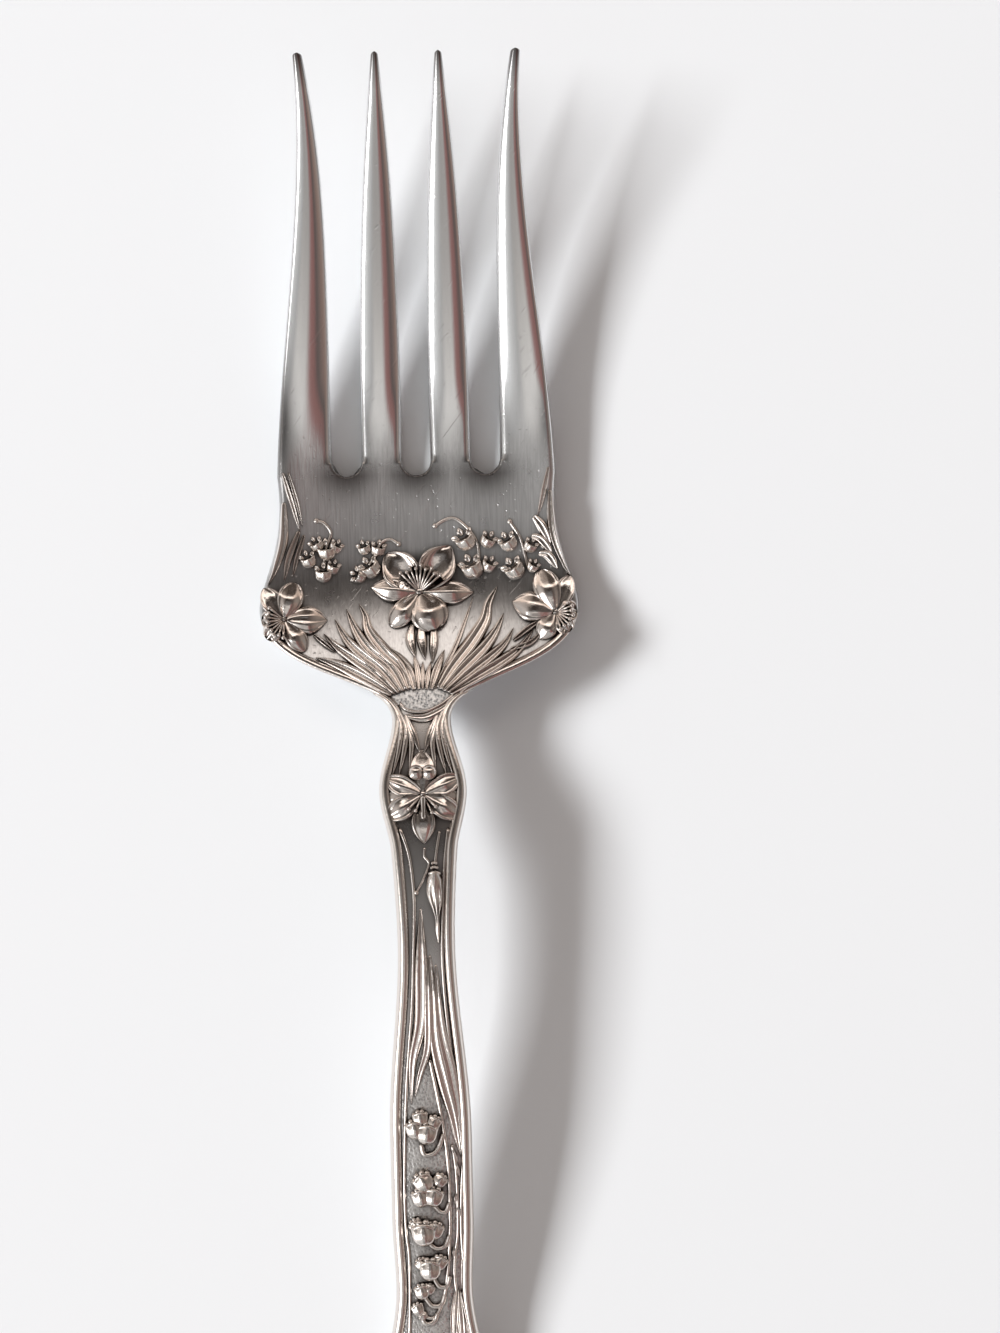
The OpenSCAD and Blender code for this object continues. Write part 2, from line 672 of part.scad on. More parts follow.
// Three bells round the head of a curled stalk
cluster_spread = 0.95;
module cluster(c) {
  at = on_handle([c])[0];
  for (b = [[-0.5, 0.3, 150], [0.55, 0.5, 40], [0.1, -0.7, 90]])
    bell(at + cluster_spread * c[2] * [b[0], b[1]] * bell_diameter / 2, b[2], bell_diameter * c[2]);
  // The stalk curls below the bells and back up to the long stem
  joint = [through(main_stem, y_neck - at[1]) - stem_diameter / 4, at[1]];
  stem([at + [0, -0.6] * c[2], at + [0.1, -3.4] * c[2], joint + [-0.6, -3.2] * c[2], joint], 6, 0.7);
}

module bell_cluster(i) {
  color("whitesmoke") difference() {
    seated() cluster(bell_clusters[i]);
    long_stem();
    for (j = [0:1:i - 1]) cluster(bell_clusters[j]);
    mirror([1, 0, 0]) rim();
  }
}

module bell_cluster_1() { bell_cluster(0); }
module bell_cluster_2() { bell_cluster(1); }
module bell_cluster_3() { bell_cluster(2); }
module bell_cluster_4() { bell_cluster(3); }
module bell_cluster_5() { bell_cluster(4); }
module bell_cluster_6() { bell_cluster(5); }

module end_leaves() {
  color("lightgray") difference() {
    seated() for (m = [0, 1]) mirror([m, 0, 0]) leaf(wreath, leaf_width * 0.8);
    flower_on_end();
    rim();
    mirror([1, 0, 0]) rim();
  }
}

fork_head();
handle();
left_rim();
right_rim();
center_flower();
left_flower();
right_flower();
neck_flower();
end_flower();
left_leaf_fan();
right_leaf_fan();
middle_leaves();
left_edge_leaves();
right_edge_leaves();
outer_left_bells();
inner_left_bells();
inner_right_bells();
outer_right_bells();
neck_leaves();
flower_bud();
handle_leaves();
end_leaves();
bell_stem();
side_stem();
bell_cluster_1();
bell_cluster_2();
bell_cluster_3();
bell_cluster_4();
bell_cluster_5();
bell_cluster_6();
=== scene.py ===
# Serving fork in worn silver: the dressed model over its CAD frame.
# Shapes are worked out in millimetres in the row's frame and scaled to metres at the end.
import bisect
import math

import bmesh
import bpy
from mathutils import Matrix, Vector


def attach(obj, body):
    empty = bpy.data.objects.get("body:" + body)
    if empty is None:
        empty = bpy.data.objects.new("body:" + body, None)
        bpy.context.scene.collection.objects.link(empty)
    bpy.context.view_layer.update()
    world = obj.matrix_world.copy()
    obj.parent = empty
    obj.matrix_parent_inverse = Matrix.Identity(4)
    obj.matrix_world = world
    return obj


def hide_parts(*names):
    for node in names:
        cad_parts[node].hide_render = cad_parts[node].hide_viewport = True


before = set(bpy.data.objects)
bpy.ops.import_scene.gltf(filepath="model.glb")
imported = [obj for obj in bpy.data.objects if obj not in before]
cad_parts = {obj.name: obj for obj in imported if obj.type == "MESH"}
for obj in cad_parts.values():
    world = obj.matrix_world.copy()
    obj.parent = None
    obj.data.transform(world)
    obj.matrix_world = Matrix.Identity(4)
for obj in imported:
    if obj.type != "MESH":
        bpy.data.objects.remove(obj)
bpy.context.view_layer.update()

MM = 0.001

# Sizes of the metal, as in the part's source
Y_TIP, Y_ROOT, Y_NECK, Y_END = 117.5, 50.5, 11.5, -117.5
TINE_LENGTH, HANDLE_LENGTH = 67.0, 129.0
Y_HEEL, Y_ARCH, Y_LAP = Y_ROOT - 13.0, Y_NECK - 24.0, Y_NECK - 8.0
INNER_TINE, OUTER_TINE, SLOT = 6.5, 8.9, 4.6
INNER_TIP, OUTER_TIP = 1.0, 1.4
SLOT_RADIUS, SLOT_PITCH = SLOT / 2, INNER_TINE + SLOT
ROOT_HALF = SLOT_PITCH + SLOT_RADIUS + OUTER_TINE
TIP_SPREAD, INNER_TIP_SPREAD, TINE_BOW = 34.7, 10.1, 1.4
INNER_TAPER, OUTER_TAPER = 2.6, 1.18
PLATE_THICK, TIP_THICK, HANDLE_THICK, END_THICK = 2.4, 1.2, 3.4, 2.6
DISH_DEPTH, WEAR = 1.6, 0.2
FLARE_LENGTH, END_HALF, END_TURN = 16.0, 9.5, math.radians(86)
FLARE_AT = HANDLE_LENGTH - FLARE_LENGTH
END_REACH = FLARE_LENGTH / math.sin(END_TURN)
SPINE = [(Y_END, END_THICK / 2 - WEAR, 0.06), (Y_ARCH, 12.5, 0), (Y_NECK, 8.3, -0.33),
         (Y_HEEL, PLATE_THICK / 2 - WEAR, 0), (Y_TIP, 15.0, 0.24)]
HANDLE_OUTLINE = [(0, 4.65, 0), (11.5, 6.95, 0), (21, 5.25, -0.07), (36, 4.55, 0), (66, 6.5, 0),
                  (80, 6.5, 0), (91, 6.1, 0), (FLARE_AT, END_HALF, 0)]
FLANK = [(4.65, 0), (5.05, 7), (23.5, 6.8), (25.5, 16.5)]
SIDE = [(25.5, 16.5), (26.4, 21.5), (ROOT_HALF - 1.5, 26.5), (ROOT_HALF, 39)]
# Share of the thickness left at an edge, and the crown of the tines as a share of half their width
EDGE_SHARE, TINE_CROWN = 0.32, 0.39
# The handle's top falls off with the square of the distance from its middle, setting in below the lap
HANDLE_CROWN, CROWN_FADE = 0.017, 9
# How square a rounded edge is: 2 is a quarter circle
EDGE_POWER = 2.2


def mix(a, b, t):
    return a + (b - a) * t


def unit(v):
    return max(0.0, min(1.0, v))


def ease(t):
    return t * t * (3 - 2 * t)


def through(knots, x):
    """Smooth curve through knots of (place, value, slope)."""
    i = 0
    while i < len(knots) - 2 and x >= knots[i + 1][0]:
        i += 1
    (xa, a, ga), (xb, b, gb) = knots[i], knots[i + 1]
    h = xb - xa
    t = unit((x - xa) / h)
    return mix(a, b, ease(t)) + h * t * (1 - t) * ((1 - t) * ga - t * gb)


def bump(v, width):
    return math.exp(-(v / width) ** 2)


# The metal's own surface


def thickness(y):
    if y > Y_ROOT:
        return mix(PLATE_THICK, TIP_THICK, unit((y - Y_ROOT) / TINE_LENGTH) ** 2)
    if y > Y_NECK:
        return mix(HANDLE_THICK, PLATE_THICK, ease(unit((y - Y_NECK) / (Y_HEEL - Y_NECK))))
    return mix(END_THICK, HANDLE_THICK, ease(unit((y - Y_END) / (Y_ARCH - Y_END))))


def middle(x, y):
    dish = DISH_DEPTH * ease(unit((y - Y_NECK) / (Y_HEEL - Y_NECK))) * (x / ROOT_HALF) ** 2
    return through(SPINE, y) + dish


def handle_crown(x, y):
    """How far the handle's top falls off toward its sides."""
    return HANDLE_CROWN * x * x * ease(unit((Y_LAP - y) / CROWN_FADE))


def metal_top(x, y):
    return middle(x, y) + thickness(y) / 2 - handle_crown(x, y)


def handle_half(y):
    d = Y_NECK - y
    if d <= FLARE_AT:
        return through(HANDLE_OUTLINE, d)
    return END_HALF * math.sqrt(max(0.0, 1 - ((d - FLARE_AT) / END_REACH) ** 2))


def bezier(p, t):
    u = 1 - t
    w = (u * u * u, 3 * u * u * t, 3 * u * t * t, t * t * t)
    g = (-u * u, u * u - 2 * u * t, 2 * u * t - t * t, t * t)
    point = tuple(sum(w[k] * p[k][i] for k in range(4)) for i in (0, 1))
    slope = tuple(sum(g[k] * p[k][i] for k in range(4)) for i in (0, 1))
    return point, slope


def round_edge(depth, reach):
    """Share of the thickness at a distance from an edge that is rounded over that reach."""
    return math.sqrt(max(0.0, 1 - (1 - unit(depth / reach)) ** EDGE_POWER))


# Meshes: vertices closer than these distances become one, in the metal and in the relief

METAL_MERGE, RELIEF_MERGE = 0.002, 1e-5


def close_and_finish(bm):
    bmesh.ops.remove_doubles(bm, verts=bm.verts, dist=METAL_MERGE)
    bmesh.ops.holes_fill(bm, edges=[e for e in bm.edges if e.is_boundary], sides=0)
    bmesh.ops.recalc_face_normals(bm, faces=bm.faces)


def piece(name, bm, material, marks=None):
    """Makes the object that stands for the CAD node of that name; marks are values kept per vertex."""
    bmesh.ops.scale(bm, vec=(MM, MM, MM), verts=bm.verts)
    mesh = bpy.data.meshes.new(name)
    bm.to_mesh(mesh)
    bm.free()
    mesh.shade_smooth()
    for key, value in (marks or {}).items():
        layer = mesh.attributes.new(key, "FLOAT", "POINT")
        for v, item in zip(mesh.vertices, layer.data):
            item.value = value(v.co.x / MM, v.co.y / MM, v.co.z / MM)
    mesh.materials.append(material)
    obj = bpy.data.objects.new("dressed_" + name, mesh)
    bpy.context.scene.collection.objects.link(obj)
    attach(obj, "root")
    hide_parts(name)


def sheet_grid(bm, columns, rows, place):
    """A grid whose vertex at column i and row j goes to place(i, j)."""
    made = bmesh.ops.create_grid(bm, x_segments=columns, y_segments=rows, size=1.0)["verts"]
    for v in made:
        i = round((v.co.x + 1) / 2 * columns)
        j = round((v.co.y + 1) / 2 * rows)
        v.co = place(i, j)


def spread(n):
    """Places from -1 to 1, closer together at both ends."""
    return [mix(2 * i / n - 1, -math.cos(math.pi * i / n), 0.75) for i in range(n + 1)]


# Fork head

ACROSS = spread(20)
STRIPS = [-1, -SLOT_PITCH / ROOT_HALF, 0, SLOT_PITCH / ROOT_HALF, 1]
# How far in from an edge its rounding reaches
EDGE_REACH, SLOT_REACH, NECK_REACH, TINE_REACH = 1.3, 0.3, 1.9, 0.4
# Lengths over which the neck's edge turns into the plate's, a tine's crown sets in and a slot is looked for
NECK_FADE, TINE_FADE, NEAR_SLOT = 12, 17, 4
TIP_ROUND, TIP_SHARE = 0.5, 0.06
TONGUE_ROWS, FLANK_ROWS, SIDE_ROWS, SLOT_ROWS, TINE_ROWS, TIP_ROWS = 8, 46, 26, 14, 70, 8


def tine_edges(k, y):
    """Where tine k starts and ends across the fork; 27 / 4 brings the bow's peak to 1."""
    t = unit((y - Y_ROOT) / TINE_LENGTH)
    outer = k in (0, 3)
    fill = 0.0
    if y < Y_ROOT + SLOT_RADIUS:
        fill = SLOT_RADIUS - math.sqrt(max(0.0, SLOT_RADIUS ** 2 - (Y_ROOT + SLOT_RADIUS - y) ** 2))
    if outer:
        m = mix(ROOT_HALF - OUTER_TINE / 2, TIP_SPREAD / 2, t) - TINE_BOW * 27 / 4 * t * t * (1 - t)
        h = mix(OUTER_TINE, OUTER_TIP, t ** OUTER_TAPER) / 2
    else:
        m = mix(SLOT_PITCH / 2, INNER_TIP_SPREAD / 2, t)
        h = mix(INNER_TINE, INNER_TIP, t ** INNER_TAPER) / 2
    h *= max(TIP_SHARE, math.sqrt(max(0.0, 1 - unit((y - (Y_TIP - TIP_ROUND)) / TIP_ROUND) ** 2)))
    near, far = m - h - fill, m + h + (0.0 if outer else fill)
    return (-far, -near) if k < 2 else (near, far)


def head_rows():
    """(y, half width, lean of the edge, share of the upper half) from the tongue to the tips."""
    tongue = [mix(Y_LAP, Y_NECK, i / TONGUE_ROWS) for i in range(TONGUE_ROWS + 1)]
    rows = [(y, handle_half(y), 1.0, 0.0) for y in tongue]
    # Rows close together above the seam keep its corner crisp
    rows += [(Y_NECK + up, FLANK[0][0], 1.0, 1.0) for up in (0.02, 0.05, 0.1)]
    # Rows crowd together below the slot roots
    near_slots = [1 - back for back in (0.045, 0.032, 0.022, 0.015, 0.01, 0.006, 0.003, 0)]
    flank_stops = [i / FLANK_ROWS for i in range(1, FLANK_ROWS + 1)]
    side_stops = [i / SIDE_ROWS for i in range(1, SIDE_ROWS - 1)] + near_slots
    for edge, stops in ((FLANK, flank_stops), (SIDE, side_stops)):
        for t in stops:
            (x, y), (dx, dy) = bezier(edge, t)
            rows.append((Y_NECK + y, x, abs(dy) / math.hypot(dx, dy), 1.0))
    start, stop = Y_ROOT + SLOT_RADIUS, Y_TIP - TIP_ROUND
    tines = [Y_ROOT + SLOT_RADIUS * (1 - math.cos(math.pi / 2 * i / SLOT_ROWS))
             for i in range(1, SLOT_ROWS + 1)]
    tines += [mix(start, stop, i / TINE_ROWS) for i in range(1, TINE_ROWS + 1)]
    tines += [stop + TIP_ROUND * math.sin(math.pi / 2 * i / TIP_ROWS) for i in range(1, TIP_ROWS + 1)]
    rows += [(y, None, 1.0, 1.0) for y in tines]
    return rows


def slot_distance(x, y):
    """Distance to the nearest round slot root."""
    top = Y_ROOT + SLOT_RADIUS
    return min(math.hypot(x - c, min(0.0, y - top)) - SLOT_RADIUS for c in (-SLOT_PITCH, 0, SLOT_PITCH))


def fork_head():
    bm = bmesh.new()
    rows = head_rows()
    for k in range(4):
        for face in (1, -1):
            def place(i, j):
                y, half, lean, upper = rows[j]
                s = ACROSS[i]
                if half is not None:
                    x = half * mix(STRIPS[k], STRIPS[k + 1], (s + 1) / 2)
                    depth = (half - abs(x)) * lean
                    if y > Y_ROOT - NEAR_SLOT:
                        depth = min(depth, slot_distance(x, y) * EDGE_REACH / SLOT_REACH)
                    reach = mix(NECK_REACH, EDGE_REACH, unit((y - Y_NECK) / NECK_FADE))
                    crown = 1.0
                else:
                    left, right = tine_edges(k, y)
                    x = mix(left, right, (s + 1) / 2)
                    h = (right - left) / 2
                    depth = (1 - abs(s)) * h
                    if y < Y_ROOT + SLOT_RADIUS:
                        outer_gap = right - x if k == 3 else x - left if k == 0 else math.inf
                        depth = min(outer_gap, slot_distance(x, y) * EDGE_REACH / SLOT_REACH)
                    share = ease(unit((y - Y_ROOT) / TINE_FADE))
                    reach = mix(EDGE_REACH, min(TINE_REACH, 0.5 * h), share)
                    drop = min(TINE_CROWN * h / (thickness(y) / 2), 1 - EDGE_SHARE)
                    crown = 1 - drop * share * s * s
                fall = thickness(y) / 2 * crown * round_edge(max(depth, 0.0), reach)
                return (x, y, max(0.0, middle(x, y) + (upper * fall if face > 0 else -fall)))
            sheet_grid(bm, len(ACROSS) - 1, len(rows) - 1, place)
    close_and_finish(bm)
    return bm


# Handle

HANDLE_ACROSS = spread(44)
HANDLE_REACH = 2.0
END_ROWS, SHAFT_ROWS, LAP_ROWS = 20, 150, 8


def handle():
    bm = bmesh.new()
    rows = [(Y_NECK - FLARE_AT - END_REACH * math.sin(END_TURN * (1 - i / END_ROWS)), 1.0)
            for i in range(END_ROWS + 1)]
    rows += [(mix(Y_NECK - FLARE_AT, Y_LAP - 0.1, i / SHAFT_ROWS), 1.0) for i in range(1, SHAFT_ROWS + 1)]
    # Rows close together keep the lap's corners crisp
    rows += [(Y_LAP - 0.05, 1.0), (Y_LAP - 0.02, 1.0)]
    rows += [(mix(Y_LAP, Y_NECK - 0.1, i / LAP_ROWS), 0.0) for i in range(LAP_ROWS + 1)]
    rows += [(Y_NECK - 0.04, 0.0), (Y_NECK, 0.0)]
    for face in (1, -1):
        def place(i, j):
            y, lower = rows[j]
            half = handle_half(y)
            x = half * HANDLE_ACROSS[i]
            share = round_edge(half - abs(x), min(HANDLE_REACH, half))
            up, down = metal_top(x, y) - middle(x, y), lower * thickness(y) / 2
            return (x, y, max(0.0, middle(x, y) + share * (up if face > 0 else -down)))
        sheet_grid(bm, len(HANDLE_ACROSS) - 1, len(rows) - 1, place)
    close_and_finish(bm)
    return bm


# Relief

# A vertex this close to a form's own axis is one of its poles
POLE = 1e-5
# The outermost vertices of leaves and petals sink into the metal
LEAF_SUNK, PETAL_SUNK, SUNK_FROM = -0.12, -0.15, 0.99
# A leaf with a root this slim also rises slowly from it
SLIM_ROOT = 0.3
RIBS = 2
THREAD, BEAD = 0.36, 0.32
BELL_LIPS, BELL_FLUTE = 6, 0.1


def curve(points, steps=60):
    """Even walk along a smooth line through plan points: t gives a point and the way to its right."""
    pts = [Vector(p) for p in points]
    ends = [2 * pts[0] - pts[1]] + pts + [2 * pts[-1] - pts[-2]]
    walk = []
    for i in range(len(pts) - 1):
        a, b, c, d = ends[i:i + 4]
        for k in range(steps):
            t = k / steps
            walk.append(0.5 * (2 * b + (c - a) * t + (2 * a - 5 * b + 4 * c - d) * t * t
                               + (3 * b - a - 3 * c + d) * t ** 3))
    walk.append(pts[-1])
    marks = [0.0]
    for a, b in zip(walk, walk[1:]):
        marks.append(marks[-1] + (b - a).length)

    def at(t):
        want = unit(t) * marks[-1]
        i = max(1, min(len(walk) - 1, bisect.bisect_left(marks, want)))
        a, b = walk[i - 1], walk[i]
        share = (want - marks[i - 1]) / max(1e-9, marks[i] - marks[i - 1])
        way = (b - a).normalized()
        return a.lerp(b, unit(share)), Vector((way.y, -way.x))
    return at


def edge_heavy(s):
    """Moves places across a form toward its edges, so that these stay crisp."""
    return math.copysign(1 - (1 - abs(s)) ** 1.7, s)


def blade(bm, line, half, top, along=36, around=24, foot=0.7):
    """A closed form along a line on the metal: half(t) is its half width, top(t, s) its height."""
    made = bmesh.ops.create_uvsphere(bm, u_segments=around, v_segments=along, radius=1.0)["verts"]
    for v in made:
        t = math.acos(max(-1.0, min(1.0, v.co.z))) / math.pi
        turn = math.atan2(v.co.y, v.co.x)
        pole = math.hypot(v.co.x, v.co.y) < POLE
        s = 0.0 if pole else edge_heavy(1 - 2 * abs(turn) / math.pi)
        at, right = line(t)
        x, y = at + right * s * half(t)
        v.co = (x, y, metal_top(x, y) + (top(t, s) if turn >= -1e-6 else -foot))


def tube(bm, line, radius, lift, along=24):
    """A round strand along a line, its middle lifted off the metal by lift(t)."""
    made = bmesh.ops.create_uvsphere(bm, u_segments=10, v_segments=along, radius=1.0)["verts"]
    for v in made:
        t = math.acos(max(-1.0, min(1.0, v.co.z))) / math.pi
        pole = math.hypot(v.co.x, v.co.y) < POLE
        turn = math.atan2(v.co.y, v.co.x)
        r = 0.0 if pole else radius(t)
        at, right = line(t)
        side = at + right * r * math.cos(turn)
        v.co = (side.x, side.y, metal_top(at.x, at.y) + lift(t) + r * math.sin(turn))


def ball(bm, x, y, radius, lift=0.3, flat=1.0):
    """A round bead, lifted off the metal by a share of its radius."""
    made = bmesh.ops.create_uvsphere(bm, u_segments=14, v_segments=10, radius=radius)["verts"]
    bmesh.ops.scale(bm, vec=(1, 1, flat), verts=made)
    bmesh.ops.translate(bm, vec=(x, y, metal_top(x, y) + lift * radius), verts=made)


def leaf_width(t, belly, root):
    """Share of a leaf's width, widest at belly and as wide as root where it starts."""
    if t < belly:
        return mix(root, 1.0, math.sin(t / belly * math.pi / 2))
    return math.cos((t - belly) / (1 - belly) * math.pi / 2) ** 0.8


def leaf(bm, points, width, height=0.9, groove=0.7, belly=0.45, root=0.5, along=44):
    """A leaf with a raised edge on both sides of a groove."""
    def top(t, s):
        crown = height * (0.35 + 0.65 * math.sin(math.pi * mix(0.18, 0.97, t)))
        if root <= SLIM_ROOT:
            crown *= unit(0.1 + t * 5)
        ridges = bump(s - 0.55, 0.26) + bump(s + 0.55, 0.26)
        body = mix(math.sqrt(max(0.0, 1 - s * s)), ridges, groove)
        return LEAF_SUNK if abs(s) > SUNK_FROM else crown * body
    blade(bm, curve(points), lambda t: width / 2 * leaf_width(t, belly, root), top, along=along)


def ribbed_leaf(bm, points, width, height):
    """A broad leaf with fine lengthwise ribs."""
    def top(t, s):
        crown = height * (0.4 + 0.6 * math.sin(math.pi * mix(0.15, 0.95, t)))
        ribbed = 0.8 - 0.35 * s * s + 0.2 * math.cos(math.pi * RIBS * s)
        return LEAF_SUNK if abs(s) > SUNK_FROM else crown * ribbed
    blade(bm, curve(points), lambda t: width / 2 * leaf_width(t, 0.5, 0.4), top, along=60, around=44)


def stem(bm, points, diameter, lift=0.25, along=40):
    tube(bm, curve(points), lambda t: diameter / 2, lambda t: lift * diameter, along)


def mirrored(side, points):
    """Plan points for the right side, or for the left one where side is -1."""
    return [(side * x, y) for x, y in points]


def petal(bm, centre, angle, length, width, height, cup=0.0, tip=0.6, start=0.5, droop=0.1, crease=0.05,
          crimp=0.0, rim=0.16):
    """One petal: cup hollows it, a low tip rounds its end, crimp frills it and rim raises its edge."""
    a = math.radians(angle)
    way = Vector((math.cos(a), math.sin(a)))
    line = curve([Vector(centre) + way * length * f for f in (0.06, 0.35, 0.7, 1.0)])

    def half(t):
        grow = 0.34 + 0.66 * math.sin(unit(t / 0.55) * math.pi / 2)
        return width / 2 * grow * (1 if t < 0.55 else math.cos((t - 0.55) / 0.45 * math.pi / 2) ** tip)

    def top(t, s):
        crest = height * through([(0, start, 0.8), (0.5, 1.0, 0), (1.0, droop, -1.6)], t)
        across = mix(1 - 0.72 * s * s, 0.2 + 0.8 * s * s, cup * math.sin(math.pi * unit(t * 1.1)))
        line_cut = crease * height * bump(s, 0.13) * math.sin(math.pi * unit(t))
        frill = crimp * height * math.cos(9 * s) * unit(t * 1.6 - 0.3)
        edge = rim * height * bump(abs(s) - 0.86, 0.11)
        return PETAL_SUNK if abs(s) > SUNK_FROM else crest * across - line_cut + frill + edge
    blade(bm, line, half, top, along=30, around=36, foot=0.8)


def ridge(bm, points, width, height, along=16):
    """A narrow rounded ridge that stands on the metal; height(t) is its height along the line."""
    blade(bm, curve(points), lambda t: width / 2, lambda t, s: height(t) - width / 2 * s * s, along, 12, 0.3)


def stamens(bm, centre, turns, length, height):
    """Threads that rise from the middle of a flower, each with a bead at its end."""
    for k, angle in enumerate(turns):
        a = math.radians(angle)
        way = Vector((math.cos(a), math.sin(a)))
        reach = length * (1 - 0.12 * (k % 2))
        ridge(bm, [Vector(centre) + way * reach * f for f in (0.1, 0.5, 1.0)], THREAD,
              lambda t: height * (0.45 + 0.9 * math.sin(math.pi * 0.62 * t)))
        end = Vector(centre) + way * reach
        made = bmesh.ops.create_uvsphere(bm, u_segments=10, v_segments=8, radius=BEAD)["verts"]
        bmesh.ops.translate(bm, vec=(end.x, end.y, metal_top(end.x, end.y) + height * 1.26), verts=made)


def frilled_mouth(bm, centre, angle, size, lift, curls):
    """The rolled rim across a bell's mouth, and the small curls beyond it."""
    way = Vector((math.cos(angle), math.sin(angle)))
    side = Vector((-way.y, way.x))
    rim = [centre + (way * ahead + side * aside) * size
           for ahead, aside in ((0.14, -0.46), (0.27, -0.26), (0.33, 0.0), (0.27, 0.26), (0.14, 0.46))]
    tube(bm, curve(rim), lambda t: 0.075 * size,
         lambda t: size * (lift + 0.12 + 0.19 * math.sin(math.pi * t)))
    for k in range(curls):
        turn = angle + math.radians(mix(-52, 52, k / (curls - 1)))
        at = centre + Vector((math.cos(turn), math.sin(turn))) * 0.44 * size
        curl = bmesh.ops.create_uvsphere(bm, u_segments=12, v_segments=8, radius=0.145 * size)["verts"]
        up = metal_top(at.x, at.y) + (lift + 0.08) * size
        bmesh.ops.translate(bm, vec=(at.x, at.y, up), verts=curl)


def blossom(bm, x, y, angle, size, lift, lean=66, curls=0):
    """A bell on the metal: a round fluted body, its scalloped mouth along angle and leaning from upright."""
    made = bmesh.ops.create_uvsphere(bm, u_segments=BELL_LIPS * 6, v_segments=18, radius=1.0)["verts"]
    for v in made:
        turn = math.atan2(v.co.y, v.co.x)
        wave = 0.5 + 0.5 * math.cos(BELL_LIPS * turn)
        rim = bump(v.co.z - 0.5, 0.24)
        out = math.hypot(v.co.x, v.co.y) * (1 - BELL_FLUTE * (1 - wave)) * (1 + 0.2 * rim * wave)
        along = v.co.z - 1.7 * max(0.0, v.co.z - 0.5) + 0.12 * rim * wave
        v.co = (out * math.cos(turn), out * math.sin(turn), along)
    for axis, degrees in (("Y", lean), ("Z", angle)):
        turned = Matrix.Rotation(math.radians(degrees), 3, axis)
        bmesh.ops.rotate(bm, cent=(0, 0, 0), matrix=turned, verts=made)
    bmesh.ops.scale(bm, vec=(size / 2, size / 2, size * 0.42), verts=made)
    bmesh.ops.translate(bm, vec=(x, y, metal_top(x, y) + lift * size), verts=made)
    if curls:
        frilled_mouth(bm, Vector((x, y)), math.radians(angle), size, lift, curls)


def flower(bm, centre, petals, stamen_turns, stamen_length, height, cup_width):
    """Petals given as angle, length, width, share of the height and what sets each apart, round a cup."""
    for angle, length, width, share, options in petals:
        petal(bm, centre, angle, length, width, height * share, **options)
    ball(bm, centre[0], centre[1], cup_width / 2, 0.15, 0.8)
    stamens(bm, centre, stamen_turns, stamen_length, height)


def relief(name, slot, build):
    bm = bmesh.new()
    build(bm)
    bmesh.ops.remove_doubles(bm, verts=bm.verts, dist=RELIEF_MERGE)
    bmesh.ops.recalc_face_normals(bm, faces=bm.faces)
    piece(name, bm, SILVER[slot])


# Materials


def linear(hex_colour):
    """sRGB hex to linear RGBA."""
    parts = [int(hex_colour[i:i + 2], 16) / 255 for i in (1, 3, 5)]
    return tuple(c / 12.92 if c <= 0.04045 else ((c + 0.055) / 1.055) ** 2.4 for c in parts) + (1.0,)


def add(tree, kind, settings=None, inputs=None, stops=()):
    """Adds a node with its properties, its inputs as values or links, and its ramp; gives its outputs."""
    node = tree.nodes.new("ShaderNode" + kind)
    for key, value in (settings or {}).items():
        setattr(node, key, value)
    for key, value in (inputs or {}).items():
        if isinstance(value, bpy.types.NodeSocket):
            tree.links.new(value, node.inputs[key])
        else:
            node.inputs[key].default_value = value
    for number, (place, colour) in enumerate(stops):
        # A new ramp has two colours
        element = node.color_ramp.elements[number] if number < 2 else node.color_ramp.elements.new(place)
        element.position = place
        element.color = colour
    return node.outputs


def new_material(name):
    material = bpy.data.materials.new(name)
    material.use_nodes = True
    tree = material.node_tree
    tree.nodes.clear()
    return material, tree


# Settings of nodes that multiply two values or mix two colours
MULTIPLY = {"operation": "MULTIPLY"}
COLOURS = {"data_type": "RGBA"}


